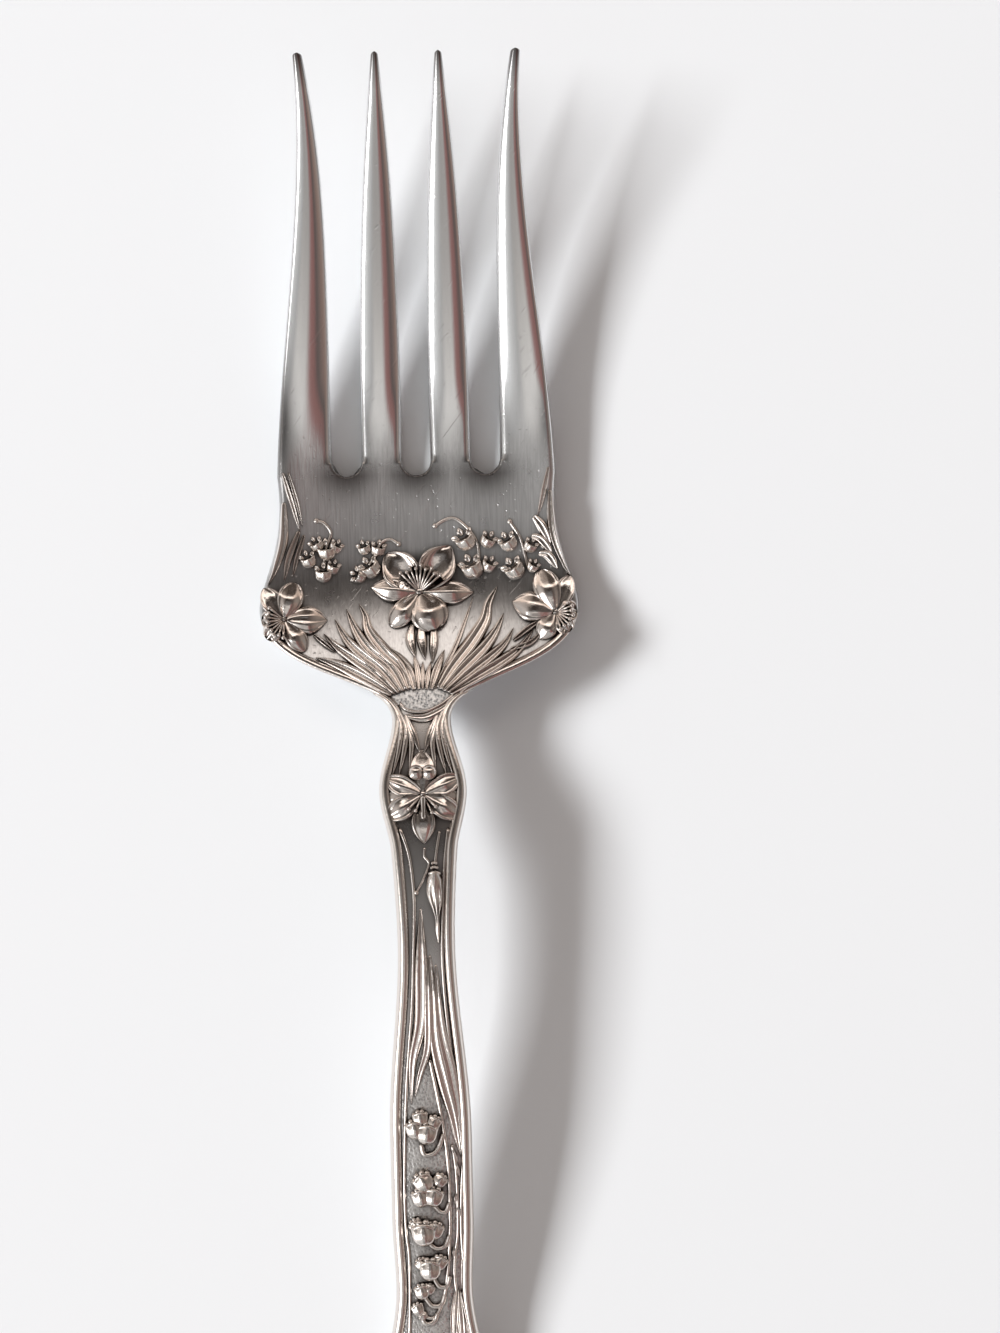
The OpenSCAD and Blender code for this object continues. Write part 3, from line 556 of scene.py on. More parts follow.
def silver(name, bright, oxide, rough, recess_mm, dark_from, dark_to, worn=0.0, stipple=0.0, head=False):
    """Silver with a dark oxide film wherever polishing could not reach."""
    material, tree = new_material(name)
    coords = add(tree, "TexCoord")["Object"]
    # Oxide stays in hollows within recess_mm of a neighbouring form
    shade = add(tree, "AmbientOcclusion", {"samples": 8}, {"Distance": recess_mm * MM})
    colour = add(tree, "ValToRGB", {}, {"Fac": shade["AO"]},
                 [(dark_from, linear(oxide)), (dark_to, linear(bright))])["Color"]
    # Handling leaves patches about 4 mm across that are a little duller
    patches = add(tree, "TexNoise", {}, {"Vector": coords, "Scale": 1 / (4 * MM), "Detail": 3.0})
    dull = add(tree, "MapRange", {}, {
        "Value": patches["Fac"], "To Min": rough * 0.8, "To Max": rough * 1.35})["Result"]
    # Colours laid over it as share and colour, and fine relief as height, strength and depth in millimetres
    layers, reliefs = [], []
    if head:
        # The tines are polished and the plate is satin, apart from the peened land
        polished = add(tree, "Attribute", {"attribute_name": "polish"})["Fac"]
        peened = add(tree, "Attribute", {"attribute_name": "matted"})["Fac"]
        satin, unpolished, unpeened = [
            add(tree, "MapRange", {}, {"Value": mark, "To Min": 1.0, "To Max": least})["Result"]
            for mark, least in ((polished, 0.42), (polished, 0.1), (peened, 0.0))]
        dull = add(tree, "Math", MULTIPLY, {0: dull, 1: satin})["Value"]
        brushed = add(tree, "Math", MULTIPLY, {0: unpolished, 1: unpeened})["Value"]
        # Satin lines along the fork, drawn 0.3 mm apart instead of 0.05 mm so that they show
        along = add(tree, "Mapping", {}, {
            "Vector": coords, "Scale": (1 / (0.3 * MM), 1 / (12 * MM), 1 / (0.3 * MM))})["Vector"]
        lines = add(tree, "TexNoise", {}, {"Vector": along, "Scale": 1.0, "Detail": 3.0})["Fac"]
        reliefs.append((add(tree, "Math", MULTIPLY, {0: lines, 1: brushed})["Value"], 0.55, 0.05))
        streaks = add(tree, "MapRange", {}, {
            "Value": lines, "From Min": 0.36, "From Max": 0.62, "To Min": 0.2, "To Max": 0.0})["Result"]
        layers.append((add(tree, "Math", MULTIPLY, {0: streaks, 1: brushed})["Value"], "#6e6b69"))
        # Stray scratches a few millimetres long, askew to the fork
        askew = add(tree, "Mapping", {"vector_type": "TEXTURE"}, {
            "Vector": coords, "Rotation": (0, 0, math.radians(-38)),
            "Scale": (0.4 * MM, 14 * MM, 0.4 * MM)})["Vector"]
        stray = add(tree, "TexNoise", {}, {"Vector": askew, "Scale": 1.0, "Detail": 0.0})["Fac"]
        cuts = add(tree, "MapRange", {}, {"Value": stray, "From Min": 0.76, "From Max": 0.82})["Result"]
        reliefs.append((add(tree, "Math", MULTIPLY, {0: cuts, 1: satin})["Value"], 0.5, -0.03))
        # Small pits, drawn 0.35 mm wide instead of 0.1 mm so that they show
        spots = add(tree, "TexNoise", {}, {"Vector": coords, "Scale": 1 / (0.55 * MM), "Detail": 0.0})
        pits = add(tree, "MapRange", {}, {
            "Value": spots["Fac"], "From Min": 0.77, "From Max": 0.83})["Result"]
        reliefs.append((add(tree, "Math", MULTIPLY, {0: pits, 1: brushed})["Value"], 0.4, -0.08))
    if worn:
        # Struck metal rubbed uneven: soft dents about 0.8 mm across
        dents = add(tree, "TexNoise", {}, {"Vector": coords, "Scale": 1 / (0.8 * MM), "Detail": 2.0})
        reliefs.append((dents["Fac"], worn, 0.1))
    if stipple:
        # Punched dots where the ground is matted, with oxide left in them
        matted = add(tree, "Attribute", {"attribute_name": "matted"})["Fac"]
        dots = add(tree, "TexVoronoi", {}, {"Vector": coords, "Scale": 1 / (stipple * MM)})["Distance"]
        reliefs.append((add(tree, "Math", MULTIPLY, {0: dots, 1: matted})["Value"], 0.5, 0.12))
        deep, shallow, tint = (1.0, 0.25, "#8b9297") if head else (0.45, 0.0, oxide)
        punched = add(tree, "MapRange", {}, {
            "Value": dots, "From Min": 0.12, "From Max": 0.55, "To Min": deep, "To Max": shallow})["Result"]
        layers.append((add(tree, "Math", MULTIPLY, {0: punched, 1: matted})["Value"], tint))
        # Painted dark reflection, laid on by a mark per vertex: on the tips, round the slots and on the
        # upper handle
        layers.append((add(tree, "Attribute", {"attribute_name": "painted_dark_reflection"})["Fac"], "#4d4644"))
    for share, tint in layers:
        colour = add(tree, "Mix", COLOURS, {"Factor": share, "A": colour, "B": linear(tint)})["Result"]
    surface = {"Metallic": 1.0, "Base Color": colour, "Roughness": dull}
    for height, strength, depth_mm in reliefs:
        bumps = {"Strength": strength, "Distance": depth_mm * MM, "Height": height}
        if "Normal" in surface:
            bumps["Normal"] = surface["Normal"]
        surface["Normal"] = add(tree, "Bump", {}, bumps)["Normal"]
    shader = add(tree, "BsdfPrincipled", {}, surface)
    add(tree, "OutputMaterial", {}, {"Surface": shader["BSDF"]})
    return material


# Colour, oxide, roughness, reach of the hollows in mm, their dark and bright ends, dents, dots in mm
SILVER = {
    # Rolled sterling, rubbed along the fork: soft streaked reflections on the plate, sharp ones on the tines
    "satin_silver": silver("satin_rubbed_silver", "#f2f2f2", "#5f5854", 0.28, 1.9, 0.28, 0.86, 0, 0.45,
                           head=True),
    # Handle, its lower ground punched: that part scatters light and holds oxide, and the upper part has a
    # painted dark reflection
    "matted_silver": silver("matted_silver_ground", "#f4f1ee", "#3a2f2a", 0.26, 2.2, 0.34, 0.9, 0, 0.42),
    # Border wire, rubbed bright by hands: clear highlights along both edges
    "border_silver": silver("rubbed_border_silver", "#f2ebe5", "#4a382e", 0.2, 0.8, 0.35, 0.75, 0.15),
    # Relief, polished where a cloth reaches: bright on top, brown-black in the hollows
    "flower_silver": silver("polished_flower_silver", "#ebe3dd", "#2f2521", 0.15, 1.3, 0.3, 0.8, 0.35),
    "leaf_silver": silver("polished_leaf_silver", "#f6eee8", "#483529", 0.17, 1.0, 0.28, 0.74, 0.3),
    "bell_silver": silver("polished_bell_silver", "#f2ebe5", "#3a2c27", 0.22, 1.1, 0.22, 0.66, 0.3),
}

# The pieces


def polish(x, y, z):
    """Polish sets in near the slot roots, in a wavy line."""
    return ease(unit((y - Y_ROOT + 2 + 0.8 * math.sin(x * 1.7)) / 11))


def head_painted_dark_reflection(x, y, z):
    """Painted dark reflection: on the tips, round the slots, under the bells, beside the left tine and thin
    on all tines.
    """
    tips = 0.85 * unit((y - Y_TIP + 6.5) / 6)
    slots = 0.85 * bump(max(0.0, slot_distance(x, y)), 3.4) * unit((Y_ROOT + 4 - y) / 4)
    under_bells = 0.45 * bump(y - 32.5, 5.0)
    left_tine = 0.7 * bump(x + 22.0, 2.6) * bump(y - 58, 17)
    tines = 0.08 * unit((y - Y_ROOT) / 8)
    return max(tips, slots, under_bells, left_tine, tines)


def handle_painted_dark_reflection(x, y, z):
    """Painted dark reflection on the upper handle, thinning out down to its leaves."""
    return 0.45 * unit((y + 36) / 12)


def land(x, y, z):
    """The plain lens above the neck, its surface peened."""
    arc = 12.6 + 0.075 * (x + 0.8) ** 2
    return unit((16.4 - y) / 0.4) * unit((y - arc) / 0.3) if z > middle(x, y) else 0.0


# The head carries marks for polish, for painted dark reflection and for the peened land
piece("fork_head", fork_head(), SILVER["satin_silver"],
      {"polish": polish, "painted_dark_reflection": head_painted_dark_reflection, "matted": land})


def matted(x, y, z):
    """The punched ground of the lower handle, inside its border."""
    if z < middle(x, y):
        return 0.0
    return unit((handle_half(y) - 1.6 - abs(x)) / 0.4) * unit((-36 - y) / 9)


# The handle carries marks for painted dark reflection and for its punched ground
piece("handle", handle(), SILVER["matted_silver"], {"painted_dark_reflection": handle_painted_dark_reflection, "matted": matted})

RIM_WIDTH = 1.9


def flank_line(side, first, last, inset):
    """Plan points along the plate's lower edge, set in from it."""
    pts = []
    for i in range(first, last + 1):
        (x, y), (dx, dy) = bezier(FLANK, i / FLANK_ROWS)
        n = math.hypot(dx, dy)
        pts.append((side * (x - inset * dy / n), Y_NECK + y + inset * dx / n))
    return pts


def rim_line(side):
    """Plan points along the middle of the edge band, from the plate down to the handle's end."""
    pts = [flank_line(side, i, i, mix(RIM_WIDTH, 1.0, i / 12) / 2)[0] for i in range(12, 0, -1)]
    for i in range(81):
        y = mix(Y_NECK, Y_NECK - FLARE_AT, i / 80)
        pts.append((side * (handle_half(y) - RIM_WIDTH / 2), y))
    for i in range(1, 13):
        a = math.radians(87) * i / 12
        pts.append((side * (END_HALF - RIM_WIDTH / 2) * math.cos(a),
                    Y_NECK - FLARE_AT - (FLARE_LENGTH - RIM_WIDTH / 2) * math.sin(a)))
    return pts


def border(side, wire):
    """A broad smooth band along the edge, and a thin wire farther in."""
    def top(t, s):
        fade = unit(t * 60) * unit((1 - t) * 60)
        return 0.85 * (1 - abs(s) ** 2.4) * fade - 0.1

    def half(t):
        return mix(1.0, RIM_WIDTH, unit(t * 22)) / 2

    def build(bm):
        blade(bm, curve(rim_line(side), 4), half, top, along=280, around=28, foot=0.9)
        stem(bm, wire, 0.55, 0.2, 160)
    return build


LEFT_WIRE = [(-3.9, -5.6), (-2.5, -9.9), (-1.9, -14.7), (-1.8, -19.2), (-2.1, -25.9), (-2.5, -33.9),
             (-3.2, -41.5), (-3.7, -47.2), (-4.1, -54.6), (-4.4, -63.5), (-4.3, -70.3), (-3.9, -75.3),
             (-4.2, -87.1), (-5.4, -97.0)]
RIGHT_WIRE = [(3.9, -5.8), (3.1, -12.5), (2.8, -17.9), (2.5, -25.9), (2.8, -33.9), (3.6, -43.0),
              (4.5, -52.0), (5.0, -58.5), (4.7, -63.5), (4.5, -70.9), (4.9, -78.3), (5.1, -87.0),
              (5.6, -97.0)]
relief("left_rim", "border_silver", border(-1, LEFT_WIRE))
relief("right_rim", "border_silver", border(1, RIGHT_WIRE))

# Flowers


def center_flower(bm):
    flower(bm, (0.1, 31.7), [
        (130, 8.2, 6.0, 1.0, {"cup": 0.9, "tip": 0.6, "rim": 0.28}),
        (55, 9.0, 6.0, 1.0, {"cup": 0.9, "tip": 0.8, "rim": 0.28}),
        (173, 7.9, 4.0, 0.9, {"tip": 0.9, "crease": -0.15}),
        (-1, 8.7, 3.9, 0.9, {"tip": 0.9, "crease": -0.15}),
        (229, 7.2, 3.9, 1.1, {"tip": 0.5, "crease": 0.0}),
        (293, 6.5, 6.4, 1.45, {"tip": 0.35, "droop": 0.45, "crease": 0.0}),
    ], range(38, 146, 12), 4.3, 1.7, 1.9)
    # The tube behind the petals, in three ribs
    leaf(bm, [(-1.2, 26.6), (-1.5, 24), (-0.7, 21.2)], 1.7, 0.9, 0.25)
    leaf(bm, [(0.3, 27.0), (0.3, 24), (0.8, 20.9)], 1.8, 1.15, 0.2)
    leaf(bm, [(2.1, 26.6), (2.2, 24), (1.9, 20.3)], 1.6, 0.95, 0.3)


def left_flower(bm):
    flower(bm, (-21.7, 27.8), [
        (72, 6.2, 4.4, 1.1, {"tip": 0.5}),
        (122, 6.0, 3.6, 0.9, {"cup": 0.5, "tip": 0.6}),
        (-2, 7.0, 4.6, 1.0, {"tip": 0.9, "crease": 0.25}),
        (-57, 6.2, 3.6, 1.0, {"tip": 0.6}),
        (229, 4.2, 3.4, 0.8, {"crimp": 0.2, "tip": 0.35}),
        (180, 3.6, 3.6, 0.8, {"crimp": 0.2, "tip": 0.35}),
    ], range(140, 270, 16), 2.9, 1.5, 1.4)


def right_flower(bm):
    flower(bm, (21.8, 28.0), [
        (165, 7.2, 4.8, 1.1, {"tip": 0.8}),
        (108, 7.3, 4.6, 1.15, {"tip": 0.5}),
        (67, 6.4, 3.4, 0.9, {"cup": 0.5, "tip": 0.6}),
        (238, 5.0, 3.6, 0.9, {"tip": 0.7}),
        (-55, 3.9, 3.6, 0.8, {"crimp": 0.22, "tip": 0.35}),
        (3, 3.5, 4.2, 0.8, {"crimp": 0.22, "tip": 0.3}),
    ], range(-75, 50, 16), 2.8, 1.5, 1.4)


def neck_flower(bm):
    rimmed = {"cup": 0.12, "tip": 0.6, "rim": 0.34, "crease": -0.1, "crimp": 0.06}
    flower(bm, (0.0, -0.5), [
        (90, 7.2, 4.2, 0.75, {"tip": 0.9, "rim": 0.25}),
        (157, 6.6, 3.5, 1.0, rimmed),
        (23, 6.8, 3.5, 1.0, rimmed),
        (212, 7.0, 3.9, 1.05, rimmed),
        (-32, 7.0, 3.9, 1.05, rimmed),
        (185, 5.9, 2.9, 0.85, {"rim": 0.3}),
        (-5, 5.9, 2.9, 0.85, {"rim": 0.3}),
        (270, 7.9, 3.9, 0.9, {"tip": 0.85, "start": 0.3, "rim": 0.3, "cup": 0.2}),
    ], (225, 245, 295, 315), 3.2, 1.2, 1.3)
    for side in (-1, 1):
        ball(bm, side * 1.05, 2.9, 1.3, 0.5, 0.9)
    ridge(bm, [(0.0, -0.8), (0.0, -2.6), (0.0, -4.4)], 0.85, lambda t: 1.9)


def end_flower(bm):
    petals = []
    for k in range(6):
        back = k % 2
        shape = {"cup": 0.4 * back, "tip": 0.7}
        petals.append((30 + 60 * k, 6.3 - 0.2 * back, 4.2, 1.0 - 0.08 * back, shape))
    flower(bm, (0.0, Y_END + 17), petals, range(15, 360, 45), 2.9, 1.4, 1.6)


for build in (center_flower, left_flower, right_flower, neck_flower, end_flower):
    relief(build.__name__, "flower_silver", build)

# Leaves on the plate

FAN_HEIGHT, FAN_GROOVE = 1.05, 0.78


def flank_border(bm, side):
    """The rounded border along the plate's lower edge, from the land to the shoulder."""
    blade(bm, curve(flank_line(side, 9, FLANK_ROWS, 0.72), 6), lambda t: mix(0.4, 0.72, unit(t * 6)),
          lambda t, s: 0.6 * math.sqrt(max(0.0, 1 - s * s)) - 0.12, along=70, around=18)


def left_leaf_fan(bm):
    for width, points in (
            (2.3, [(-4.5, 15.4), (-9.2, 18.3), (-13.1, 20.3), (-16.7, 21.6)]),
            (2.2, [(-3.9, 15.6), (-7.6, 19.0), (-11.1, 21.6), (-13.5, 23.4), (-15.4, 25.4)]),
            (2.3, [(-3.3, 15.7), (-6.2, 19.3), (-9.5, 22.1), (-11.8, 24.5), (-13.6, 27.7)]),
            (2.4, [(-2.6, 15.9), (-4.8, 19.7), (-8.3, 22.9), (-10.2, 25.7), (-11.7, 29.3)]),
            (2.4, [(-1.8, 16.1), (-3.2, 19.7), (-5.9, 22.5), (-8.2, 25.7), (-8.7, 28.1), (-9.7, 30.1)])):
        leaf(bm, points, width, FAN_HEIGHT, FAN_GROOVE)
    leaf(bm, [(-17.0, 25.3), (-15.2, 23.8), (-13.5, 22.3)], 0.9)
    flank_border(bm, -1)


def right_leaf_fan(bm):
    leaf(bm, [(2.2, 16.1), (4.0, 19.7), (6.2, 24.1), (8.7, 30.9)], 0.9, 0.5)
    for width, points in (
            (2.6, [(2.8, 16.1), (5.2, 19.7), (8.1, 23.3), (10.4, 26.9), (11.1, 29.7), (12.6, 32.5)]),
            (2.4, [(3.4, 15.9), (6.8, 19.3), (10.1, 22.5), (12.2, 25.3), (13.5, 28.1)]),
            (2.2, [(4.0, 15.7), (8.0, 18.7), (11.7, 21.5), (13.7, 23.4), (15.0, 25.7)]),
            (2.3, [(4.5, 15.4), (9.2, 18.1), (13.3, 20.5), (16.1, 22.6), (18.2, 25.3)])):
        leaf(bm, points, width, FAN_HEIGHT, FAN_GROOVE)
    leaf(bm, [(14.9, 23.7), (18.2, 26.1), (20.2, 26.9)], 1.1)
    leaf(bm, [(14.5, 22.3), (17.7, 23.3), (19.8, 25.3)], 1.1)
    flank_border(bm, 1)


def middle_leaves(bm):
    leaf(bm, [(-1.0, 16.1), (-1.8, 18.9), (-3.5, 21.3), (-5.1, 22.9)], 1.9)
    leaf(bm, [(-0.3, 16.1), (-0.5, 19.3), (-1.1, 21.9)], 1.2, 0.6)
    leaf(bm, [(0.3, 16.2), (0.3, 18.4), (0.4, 20.6)], 1.0, 0.6)
    leaf(bm, [(0.9, 16.1), (1.2, 18.6), (1.7, 20.6)], 1.1, 0.6)
    leaf(bm, [(1.6, 16.1), (2.6, 19.3), (3.9, 22.4)], 1.6)


def left_edge_leaves(bm):
    leaf(bm, [(-21.4, 51.3), (-19.9, 46.1), (-18.8, 41.7)], 1.0, 0.5)
    leaf(bm, [(-20.5, 51.3), (-19.2, 46.5), (-18.4, 42.5)], 0.8, 0.5)
    leaf(bm, [(-21.3, 46.6), (-21.5, 40.5), (-22.9, 35.9), (-24.2, 33.3)], 1.5, 0.6)
    leaf(bm, [(-19.0, 41.9), (-20.7, 37.7), (-21.6, 33.8)], 1.3, 0.6)
    leaf(bm, [(-18.2, 41.3), (-19.4, 37.7), (-20.2, 34.5)], 1.0, 0.6)


def right_edge_leaves(bm):
    leaf(bm, [(21.2, 51.3), (20.0, 46.1), (19.2, 43.3)], 1.0, 0.5)
    leaf(bm, [(18.7, 43.5), (20.0, 41.7), (21.3, 38.9)], 1.7, 0.8, 0.3)
    leaf(bm, [(18.2, 40.3), (19.7, 39.7), (21.6, 37.3)], 1.6, 0.8, 0.3)
    leaf(bm, [(19.3, 37.5), (20.9, 37.1), (22.3, 34.9)], 1.6, 0.8, 0.3)
    leaf(bm, [(21.3, 47.7), (21.6, 40.9), (23.2, 35.9), (24.4, 33.7)], 1.4, 0.6)


for build in (left_leaf_fan, right_leaf_fan, middle_leaves, left_edge_leaves, right_edge_leaves):
    relief(build.__name__, "leaf_silver", build)

# Bells on the plate: a bent stalk, then bells as place, angle and size

# A bell's body is drawn this much wider than its size, on the plate and on the handle
PLATE_BELL, HANDLE_BELL = 1.35, 1.22


def bell_lips(bm, x, y, angle, size):
    """Three pointed lips that flare from a bell's mouth."""
    for turn in (-50, 0, 50):
        a = math.radians(angle + turn)
        way = Vector((math.cos(a), math.sin(a)))
        lip = [Vector((x, y)) + way * size * f for f in (0.4, 0.68, 0.94)]
        leaf(bm, lip, 0.46 * size, 0.6, 0.3, along=14)


def spray(stalk, bells):
    """Bells with flaring lips beside a stalk that ends in a bead."""
    def build(bm):
        stem(bm, stalk, 0.5, 0.3)
        ball(bm, stalk[0][0], stalk[0][1], 0.42)
        for x, y, angle, size in bells:
            blossom(bm, x, y, angle, PLATE_BELL * size, 0.1)
            bell_lips(bm, x, y, angle, size)
    return build


relief("outer_left_bells", "bell_silver", spray(
    [(-16.2, 43.5), (-15.0, 43.1), (-13.9, 41.5), (-14.7, 39.3), (-15.2, 36.4)],
    [(-14.7, 38.6, 95, 2.3), (-13.2, 39.2, 60, 1.6), (-16.2, 39.6, 120, 1.7), (-13.7, 35.9, 70, 1.6),
     (-17.6, 37.2, 110, 1.9), (-15.2, 35.0, 90, 2.1)]))
relief("inner_left_bells", "bell_silver", spray(
    [(-3.1, 39.5), (-4.6, 40.3), (-6.1, 39.5), (-6.9, 37.7), (-8.0, 36.1)],
    [(-6.4, 38.7, 80, 1.8), (-8.6, 38.9, 110, 1.6), (-7.6, 35.7, 125, 2.4), (-9.5, 34.6, 160, 1.8)]))
relief("inner_right_bells", "bell_silver", spray(
    [(2.8, 42.3), (4.6, 43.3), (6.2, 43.3), (8.2, 41.5), (9.5, 39.3), (9.8, 36.1)],
    [(7.6, 39.8, 120, 2.5), (11.2, 39.7, 60, 1.9), (8.6, 35.4, 115, 2.7), (11.2, 35.8, 60, 1.8)]))
relief("outer_right_bells", "bell_silver", spray(
    [(14.8, 42.7), (16.5, 39.7), (17.6, 34.9)],
    [(14.5, 39.3, 120, 2.2), (18.0, 38.7, 60, 1.7), (15.4, 35.0, 125, 2.5), (18.3, 35.4, 60, 1.5)]))

# Relief on the handle


def neck_leaves(bm):
    # The arc under the land, and the fold below it
    stem(bm, [(-3.4, 14.1), (-2.6, 13.1), (-1.0, 12.6), (1.2, 12.8), (3.5, 13.9), (5.6, 15.5)], 0.6, 0.2, 60)
    leaf(bm, [(-2.6, 11.9), (0.4, 11.6), (3.0, 12.7), (5.3, 14.6)], 1.5, 0.7, 0.0)
    for side in (-1, 1):
        for points, width, groove in (
                ([(4.4, 13.5), (3.3, 10.4), (3.7, 6.6), (4.9, 2.2)], 1.1, 0.0),
                ([(3.5, 12.8), (2.5, 10.0), (2.8, 6.8), (3.8, 2.4)], 1.2, 0.0),
                ([(2.6, 12.2), (1.5, 9.5), (0.3, 6.0)], 1.2, 0.2),
                ([(2.4, 11.2), (1.7, 7.6), (2.1, 3.2)], 1.1, 0.0)):
            leaf(bm, mirrored(side, points), width, 0.9, groove)


def flower_bud(bm):
    stem(bm, [(0.1, -8.9), (0.0, -10.4), (0.7, -11.6), (-0.3, -14.1), (-1.4, -16.1)], 0.4)
    stem(bm, [(2.5, -6.4), (1.9, -9.9), (1.6, -12.1)], 0.45)
    ball(bm, -1.4, -16.1, 0.4)
    # Two rings and a collar above the bud
    ridge(bm, [(1.1, -11.55), (1.56, -11.4), (2.02, -11.55)], 0.5, lambda t: 0.8)
    ridge(bm, [(0.95, -12.25), (1.56, -12.1), (2.17, -12.25)], 0.5, lambda t: 0.95)
    ridge(bm, [(0.55, -13.2), (1.56, -12.9), (2.57, -13.2)], 0.42,
          lambda t: 0.7 + 0.6 * math.sin(math.pi * t), 20)

    def half(t):
        return through([(0, 0.8, 3.0), (0.12, 1.3, 0.8), (0.27, 1.38, 0), (0.66, 0.36, -1.2), (0.78, 0.4, 0),
                        (1, 0.08, -1.0)], t)

    def top(t, s):
        folds = 0.3 * math.cos(9 * s) * bump(t - 0.48, 0.22)
        crown = 1.2 * (1 - t) ** 0.7 + 0.15
        return LEAF_SUNK if abs(s) > SUNK_FROM else crown * math.sqrt(max(0.0, 1 - s * s)) + folds
    bud_line = curve([(1.56, -12.9), (1.54, -15.2), (1.8, -19.2), (1.95, -24.3)])
    blade(bm, bud_line, half, top, along=60, around=36)


def handle_leaves(bm):
    # Points, then width, height, groove, belly, root and rows
    for points, shape in (
            ([(-0.8, -18.5), (-0.9, -27.0), (-1.2, -36.4), (-2.6, -43.0), (-3.0, -50.0)],
             (2.4, 0.8, 0.45, 0.4, 0.1, 70)),
            ([(0.1, -26.5), (0.0, -34.0), (-0.2, -40.7), (-1.5, -45.1), (-2.4, -48.8)],
             (1.5, 1.0, 0.3, 0.6, 0.2, 60)),
            ([(0.5, -26.0), (0.8, -33.0), (1.0, -39.8), (2.3, -46.3), (3.7, -52.2), (4.7, -58.5)],
             (2.3, 0.9, 0.45, 0.6, 0.2, 70)),
            ([(1.4, -27.5), (1.9, -37.2), (3.4, -45.1), (4.4, -51.5), (4.7, -57.4)],
             (2.4, 0.8, 0.4, 0.6, 0.2, 60))):
        leaf(bm, points, *shape)


def bell_stem(bm):
    stem(bm, [(0.1, -42.6), (1.22, -48.7), (2.03, -54.0), (2.62, -59.0), (2.77, -65.0), (2.7, -70.3),
              (2.27, -76.2), (1.52, -81.0), (0.0, -84.2), (-1.8, -84.2)], 0.6, 0.35, 120)


def side_stem(bm):
    stem(bm, [(3.3, -56.4), (3.8, -59.9), (4.0, -65.0), (3.9, -70.9), (3.4, -74.2), (3.25, -77.7),
              (3.6, -80.7)], 0.5, 0.35, 80)
    for x, y, dx, dy in ((3.4, -57.2, 0.7, -2.2), (3.9, -59.4, 0.5, -2.4), (3.9, -64.2, -0.3, -2.0),
                         (4.0, -66.4, 0.3, -2.0), (3.3, -73.0, -0.1, -1.9)):
        leaf(bm, [(x, y), (x + dx * 0.6, y + dy * 0.5), (x + dx, y + dy)], 0.7, 0.6, 0.2, along=20)
    ribbed_leaf(bm, [(3.5, -79.9), (3.1, -83.6), (2.9, -89.5)], 1.3, 0.7)
    ribbed_leaf(bm, [(3.8, -79.9), (3.9, -84.0), (4.4, -91.0)], 1.4, 0.8)
    ribbed_leaf(bm, [(4.1, -80.2), (4.9, -84.0), (6.2, -90.5)], 1.4, 0.7)


def cluster(bells, hook):
    """Bells with frilled mouths, and the hooked stalk that joins them to the stem."""
    def build(bm):
        for x, y, angle, size in bells:
            blossom(bm, x, y, angle, HANDLE_BELL * size, 0.2, 96, 4)
        stem(bm, hook, 0.75, 0.55, 40)
    return build


# Bells as place, angle and size, then the hook's points
CLUSTERS = [
    ([(-2.5, -53.9, 100, 2.6), (-0.6, -54.6, 80, 2.9), (-1.6, -52.2, 95, 2.2), (0.5, -52.9, 60, 2.0)],
     [(-1.6, -56.2), (-1.0, -58.0), (0.9, -57.4), (2.02, -54.6)]),
    ([(-1.8, -64.9, 100, 2.6), (0.2, -64.8, 75, 2.7), (-1.3, -62.4, 120, 2.8), (1.2, -62.2, 50, 2.0)],
     [(0.3, -66.2), (1.2, -67.2), (2.1, -67.2), (2.7, -65.8)]),
    ([(-1.5, -70.7, 95, 3.4), (0.3, -70.2, 70, 2.4), (-2.6, -69.4, 130, 2.0)],
     [(-0.8, -72.2), (0.4, -73.1), (1.8, -72.8), (2.62, -71.0)]),
    ([(-0.6, -76.5, 90, 3.0), (0.9, -75.4, 60, 2.1), (-1.9, -75.6, 130, 1.8)],
     [(-0.1, -77.9), (0.8, -79.3), (2.0, -79.2), (2.5, -77.6)]),
    ([(-2.0, -80.1, 100, 2.1), (-0.9, -79.7, 60, 1.6)],
     [(-1.6, -81.0), (-0.4, -82.4), (1.0, -82.2), (1.7, -80.6)]),
    ([(-2.7, -82.9, 110, 1.8), (-1.9, -83.9, 200, 1.3)],
     [(-2.3, -83.6), (-1.6, -85.2), (-0.2, -85.0), (0.4, -83.6)]),
]


def end_leaves(bm):
    for side in (-1, 1):
        leaf(bm, mirrored(side, [(0, Y_END + 4.8), (4.6, Y_END + 6.4), (6.9, Y_END + 13),
                                 (6.5, Y_END + 21.5)]), 1.3, 0.7)
        leaf(bm, mirrored(side, [(0.4, Y_END + 5.2), (2.6, Y_END + 8.2), (3.6, Y_END + 9.6)]), 1.0, 0.6)


relief("neck_leaves", "leaf_silver", neck_leaves)
relief("flower_bud", "bell_silver", flower_bud)
relief("handle_leaves", "leaf_silver", handle_leaves)
relief("bell_stem", "leaf_silver", bell_stem)
relief("side_stem", "leaf_silver", side_stem)
for number, (bells, hook) in enumerate(CLUSTERS, 1):
    relief(f"bell_cluster_{number}", "bell_silver", cluster(bells, hook))
relief("end_leaves", "leaf_silver", end_leaves)

# Stage: a plain white table, two windows, the room that the silver mirrors, and a camera above


def stage():
    bm = bmesh.new()
    bmesh.ops.create_grid(bm, x_segments=1, y_segments=1, size=3.0)
    mesh = bpy.data.meshes.new("table")
    bm.to_mesh(mesh)
    bm.free()
    table = bpy.data.objects.new("table", mesh)
    bpy.context.scene.collection.objects.link(table)
    # Painted board, matt white: it takes the shadow and mirrors nothing
    material, tree = new_material("matt_white_board")
    shader = add(tree, "BsdfPrincipled", {}, {
        "Base Color": linear("#edf0f3"), "Roughness": 0.9, "Specular IOR Level": 0.1})
    add(tree, "OutputMaterial", {}, {"Surface": shader["BSDF"]})
    mesh.materials.append(material)


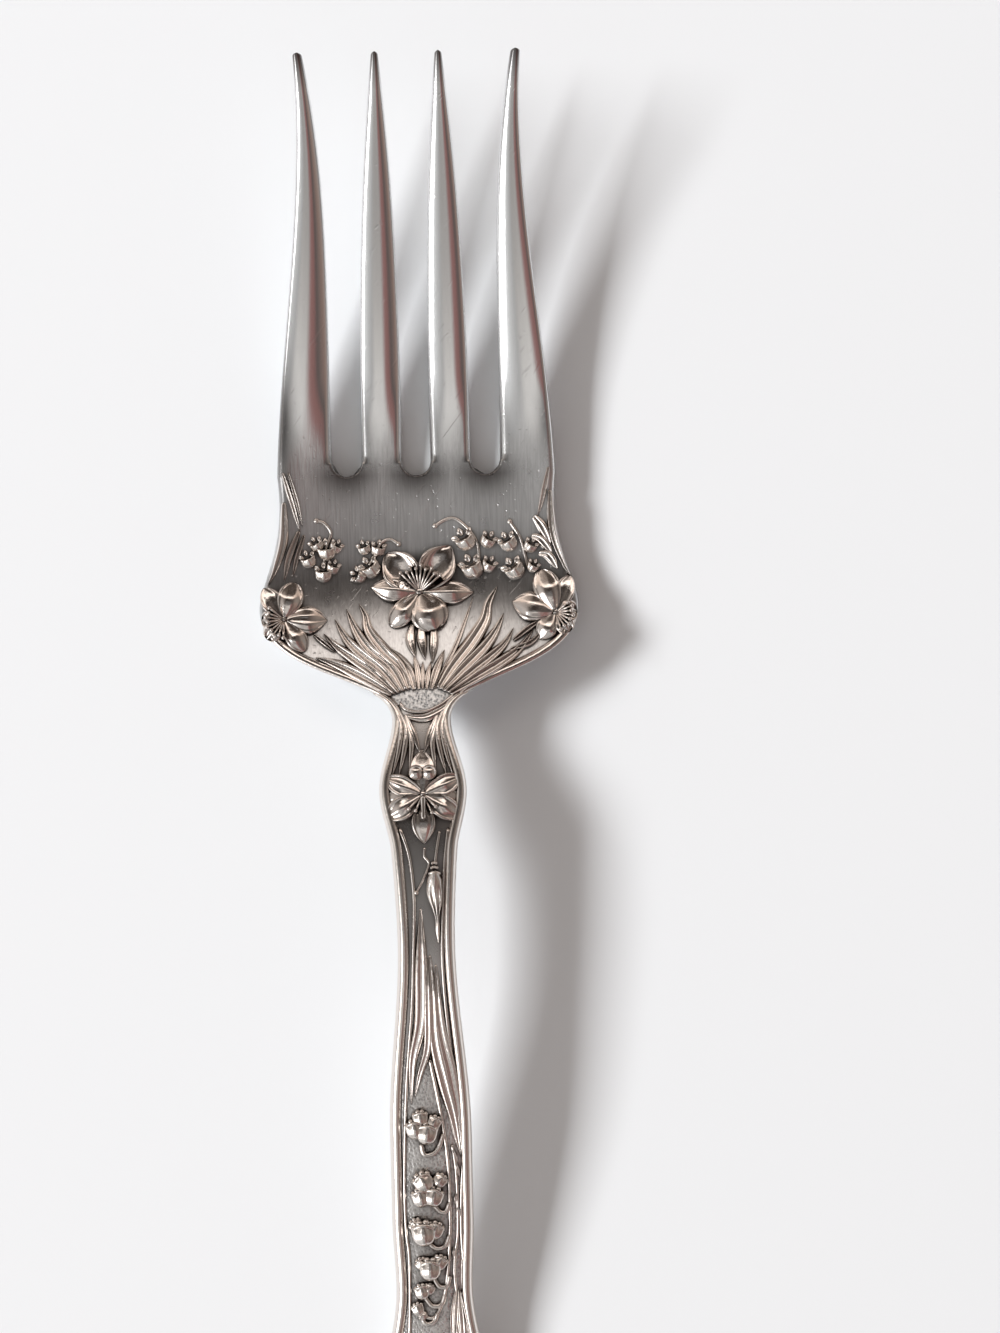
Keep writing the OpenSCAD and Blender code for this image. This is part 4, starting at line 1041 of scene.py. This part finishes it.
def window(name, towards, wide, tall, glow, distance):
    """A white window that looks at the fork; glow is how bright its face is."""
    data = bpy.data.lights.new(name, "AREA")
    data.shape = "RECTANGLE"
    data.size = wide
    data.size_y = tall
    data.energy = glow * math.pi * wide * tall
    obj = bpy.data.objects.new(name, data)
    way = Vector(towards).normalized()
    obj.location = way * distance + Vector((0, 0.03, 0))
    obj.rotation_euler = way.to_track_quat("Z", "Y").to_euler()
    bpy.context.scene.collection.objects.link(obj)
    return obj


def camera():
    # The photograph is 1333 pixels tall at about 0.16 mm each, seen from above
    span, distance, sensor = 213.3 * MM, 1.2, 36.0
    data = bpy.data.cameras.new("camera")
    data.sensor_fit = "VERTICAL"
    data.sensor_height = sensor
    data.lens = sensor / 2 / (span / 2 / distance)
    obj = bpy.data.objects.new("camera", data)
    obj.location = (0.0127, 0.0195, 0.005 + distance)
    obj.rotation_euler = (0, 0, math.radians(-1.3))
    bpy.context.scene.collection.objects.link(obj)
    bpy.context.scene.camera = obj


def sweep(part, stops, glow=1.0):
    """Colours along one direction of the room, each at its angle from straight up."""
    place = add(room, "MapRange", {}, {"Value": part, "From Min": -1.0, "From Max": 1.0})
    colours = add(room, "ValToRGB", {}, {"Fac": place["Result"]},
                  [((math.sin(math.radians(angle)) + 1) / 2, linear(colour)) for angle, colour in stops])
    lit = add(room, "VectorMath", {"operation": "SCALE"}, {"Vector": colours["Color"], "Scale": glow})
    return lit["Vector"]


def give_way(part, low, high, first, second):
    """The first colours, giving way to the second where part rises from low to high."""
    share = add(room, "MapRange", {"interpolation_type": "SMOOTHSTEP"}, {
        "Value": part, "From Min": low, "From Max": high})["Result"]
    return add(room, "Mix", COLOURS, {"Factor": share, "A": first, "B": second})["Result"]


stage()
# The high window lights the table, and the silver mirrors the low one beside it
high_window = window("high_window", (-0.85, 0.25, 0.5), wide=2.4, tall=1.2, glow=55, distance=6.0)
high_window.visible_glossy = False
low_window = window("low_window", (-0.74, -0.39, 0.56), wide=0.95, tall=0.9, glow=3.8, distance=2.0)
low_window.visible_diffuse = False
camera()

world = bpy.data.worlds.new("room")
world.use_nodes = True
room = world.node_tree
way = add(room, "SeparateXYZ", {}, {"Vector": add(room, "TexCoord")["Generated"]})
aside = add(room, "Math", {"operation": "ABSOLUTE"}, {"Value": way["X"]})["Value"]
# From the near wall over the dark ceiling
lengthwise = sweep(way["Y"], [
    (-90, "#808080"), (-60, "#a0a0a0"), (-42, "#c0c0bf"), (-30, "#8f8b89"), (-24, "#938f8d"),
    (-18, "#c6c2be"), (-13, "#e8e5e2"), (-10, "#c4c1be"), (-7, "#5a5857"), (-3, "#767473"), (0, "#807f7f"),
    (6, "#5a5857"), (11, "#3a3532"), (26, "#332d2a"), (90, "#332d2a")])
# Across the near part of the room: a white wall on the left, red cloth and grey on the right
nearby = sweep(way["X"], [
    (-90, "#b0b0b0"), (-70, "#dcdcdc"), (-34, "#dcdcdc"), (-27, "#c8c7c6"), (-18, "#b4b3b2"),
    (10, "#8a8281"), (17, "#97726f"), (26, "#8b6763"), (33, "#5f5856"), (45, "#8a756d"), (60, "#a09088"),
    (90, "#909090")])
# Across its middle, which is dark between two grey walls
halfway = sweep(way["X"], [
    (-90, "#b0b0b0"), (-62, "#c6c1bd"), (-42, "#918b87"), (-27, "#58534f"), (0, "#504b48"), (30, "#5c5552"),
    (60, "#8f867f"), (90, "#8a8a8a")])
# Across the far end, where warm light comes in
far_end = sweep(way["X"], [
    (-90, "#8a8a8a"), (-52, "#a4968c"), (-30, "#dacec4"), (-12, "#f0e7e0"), (12, "#ece1d9"), (30, "#c8b9ae"),
    (52, "#786a61"), (90, "#808080")], 2.1)
# Across the shade below that light
shade = sweep(way["X"], [
    (-90, "#8d857f"), (-50, "#d0c5bc"), (-22, "#9a8f87"), (-6, "#5a514b"), (3, "#4a423d"), (90, "#4f4742")])
across = give_way(way["Y"], -0.2, -0.02, nearby, halfway)
around = give_way(aside, 0.14, 0.34, lengthwise, across)
warm = give_way(way["Y"], 0.69, 0.83, far_end, shade)
walls = give_way(way["Y"], 0.53, 0.61, around, warm)
room.links.new(walls, room.nodes["Background"].inputs["Color"])
bpy.context.scene.world = world
bpy.context.scene.view_settings.view_transform = "Standard"
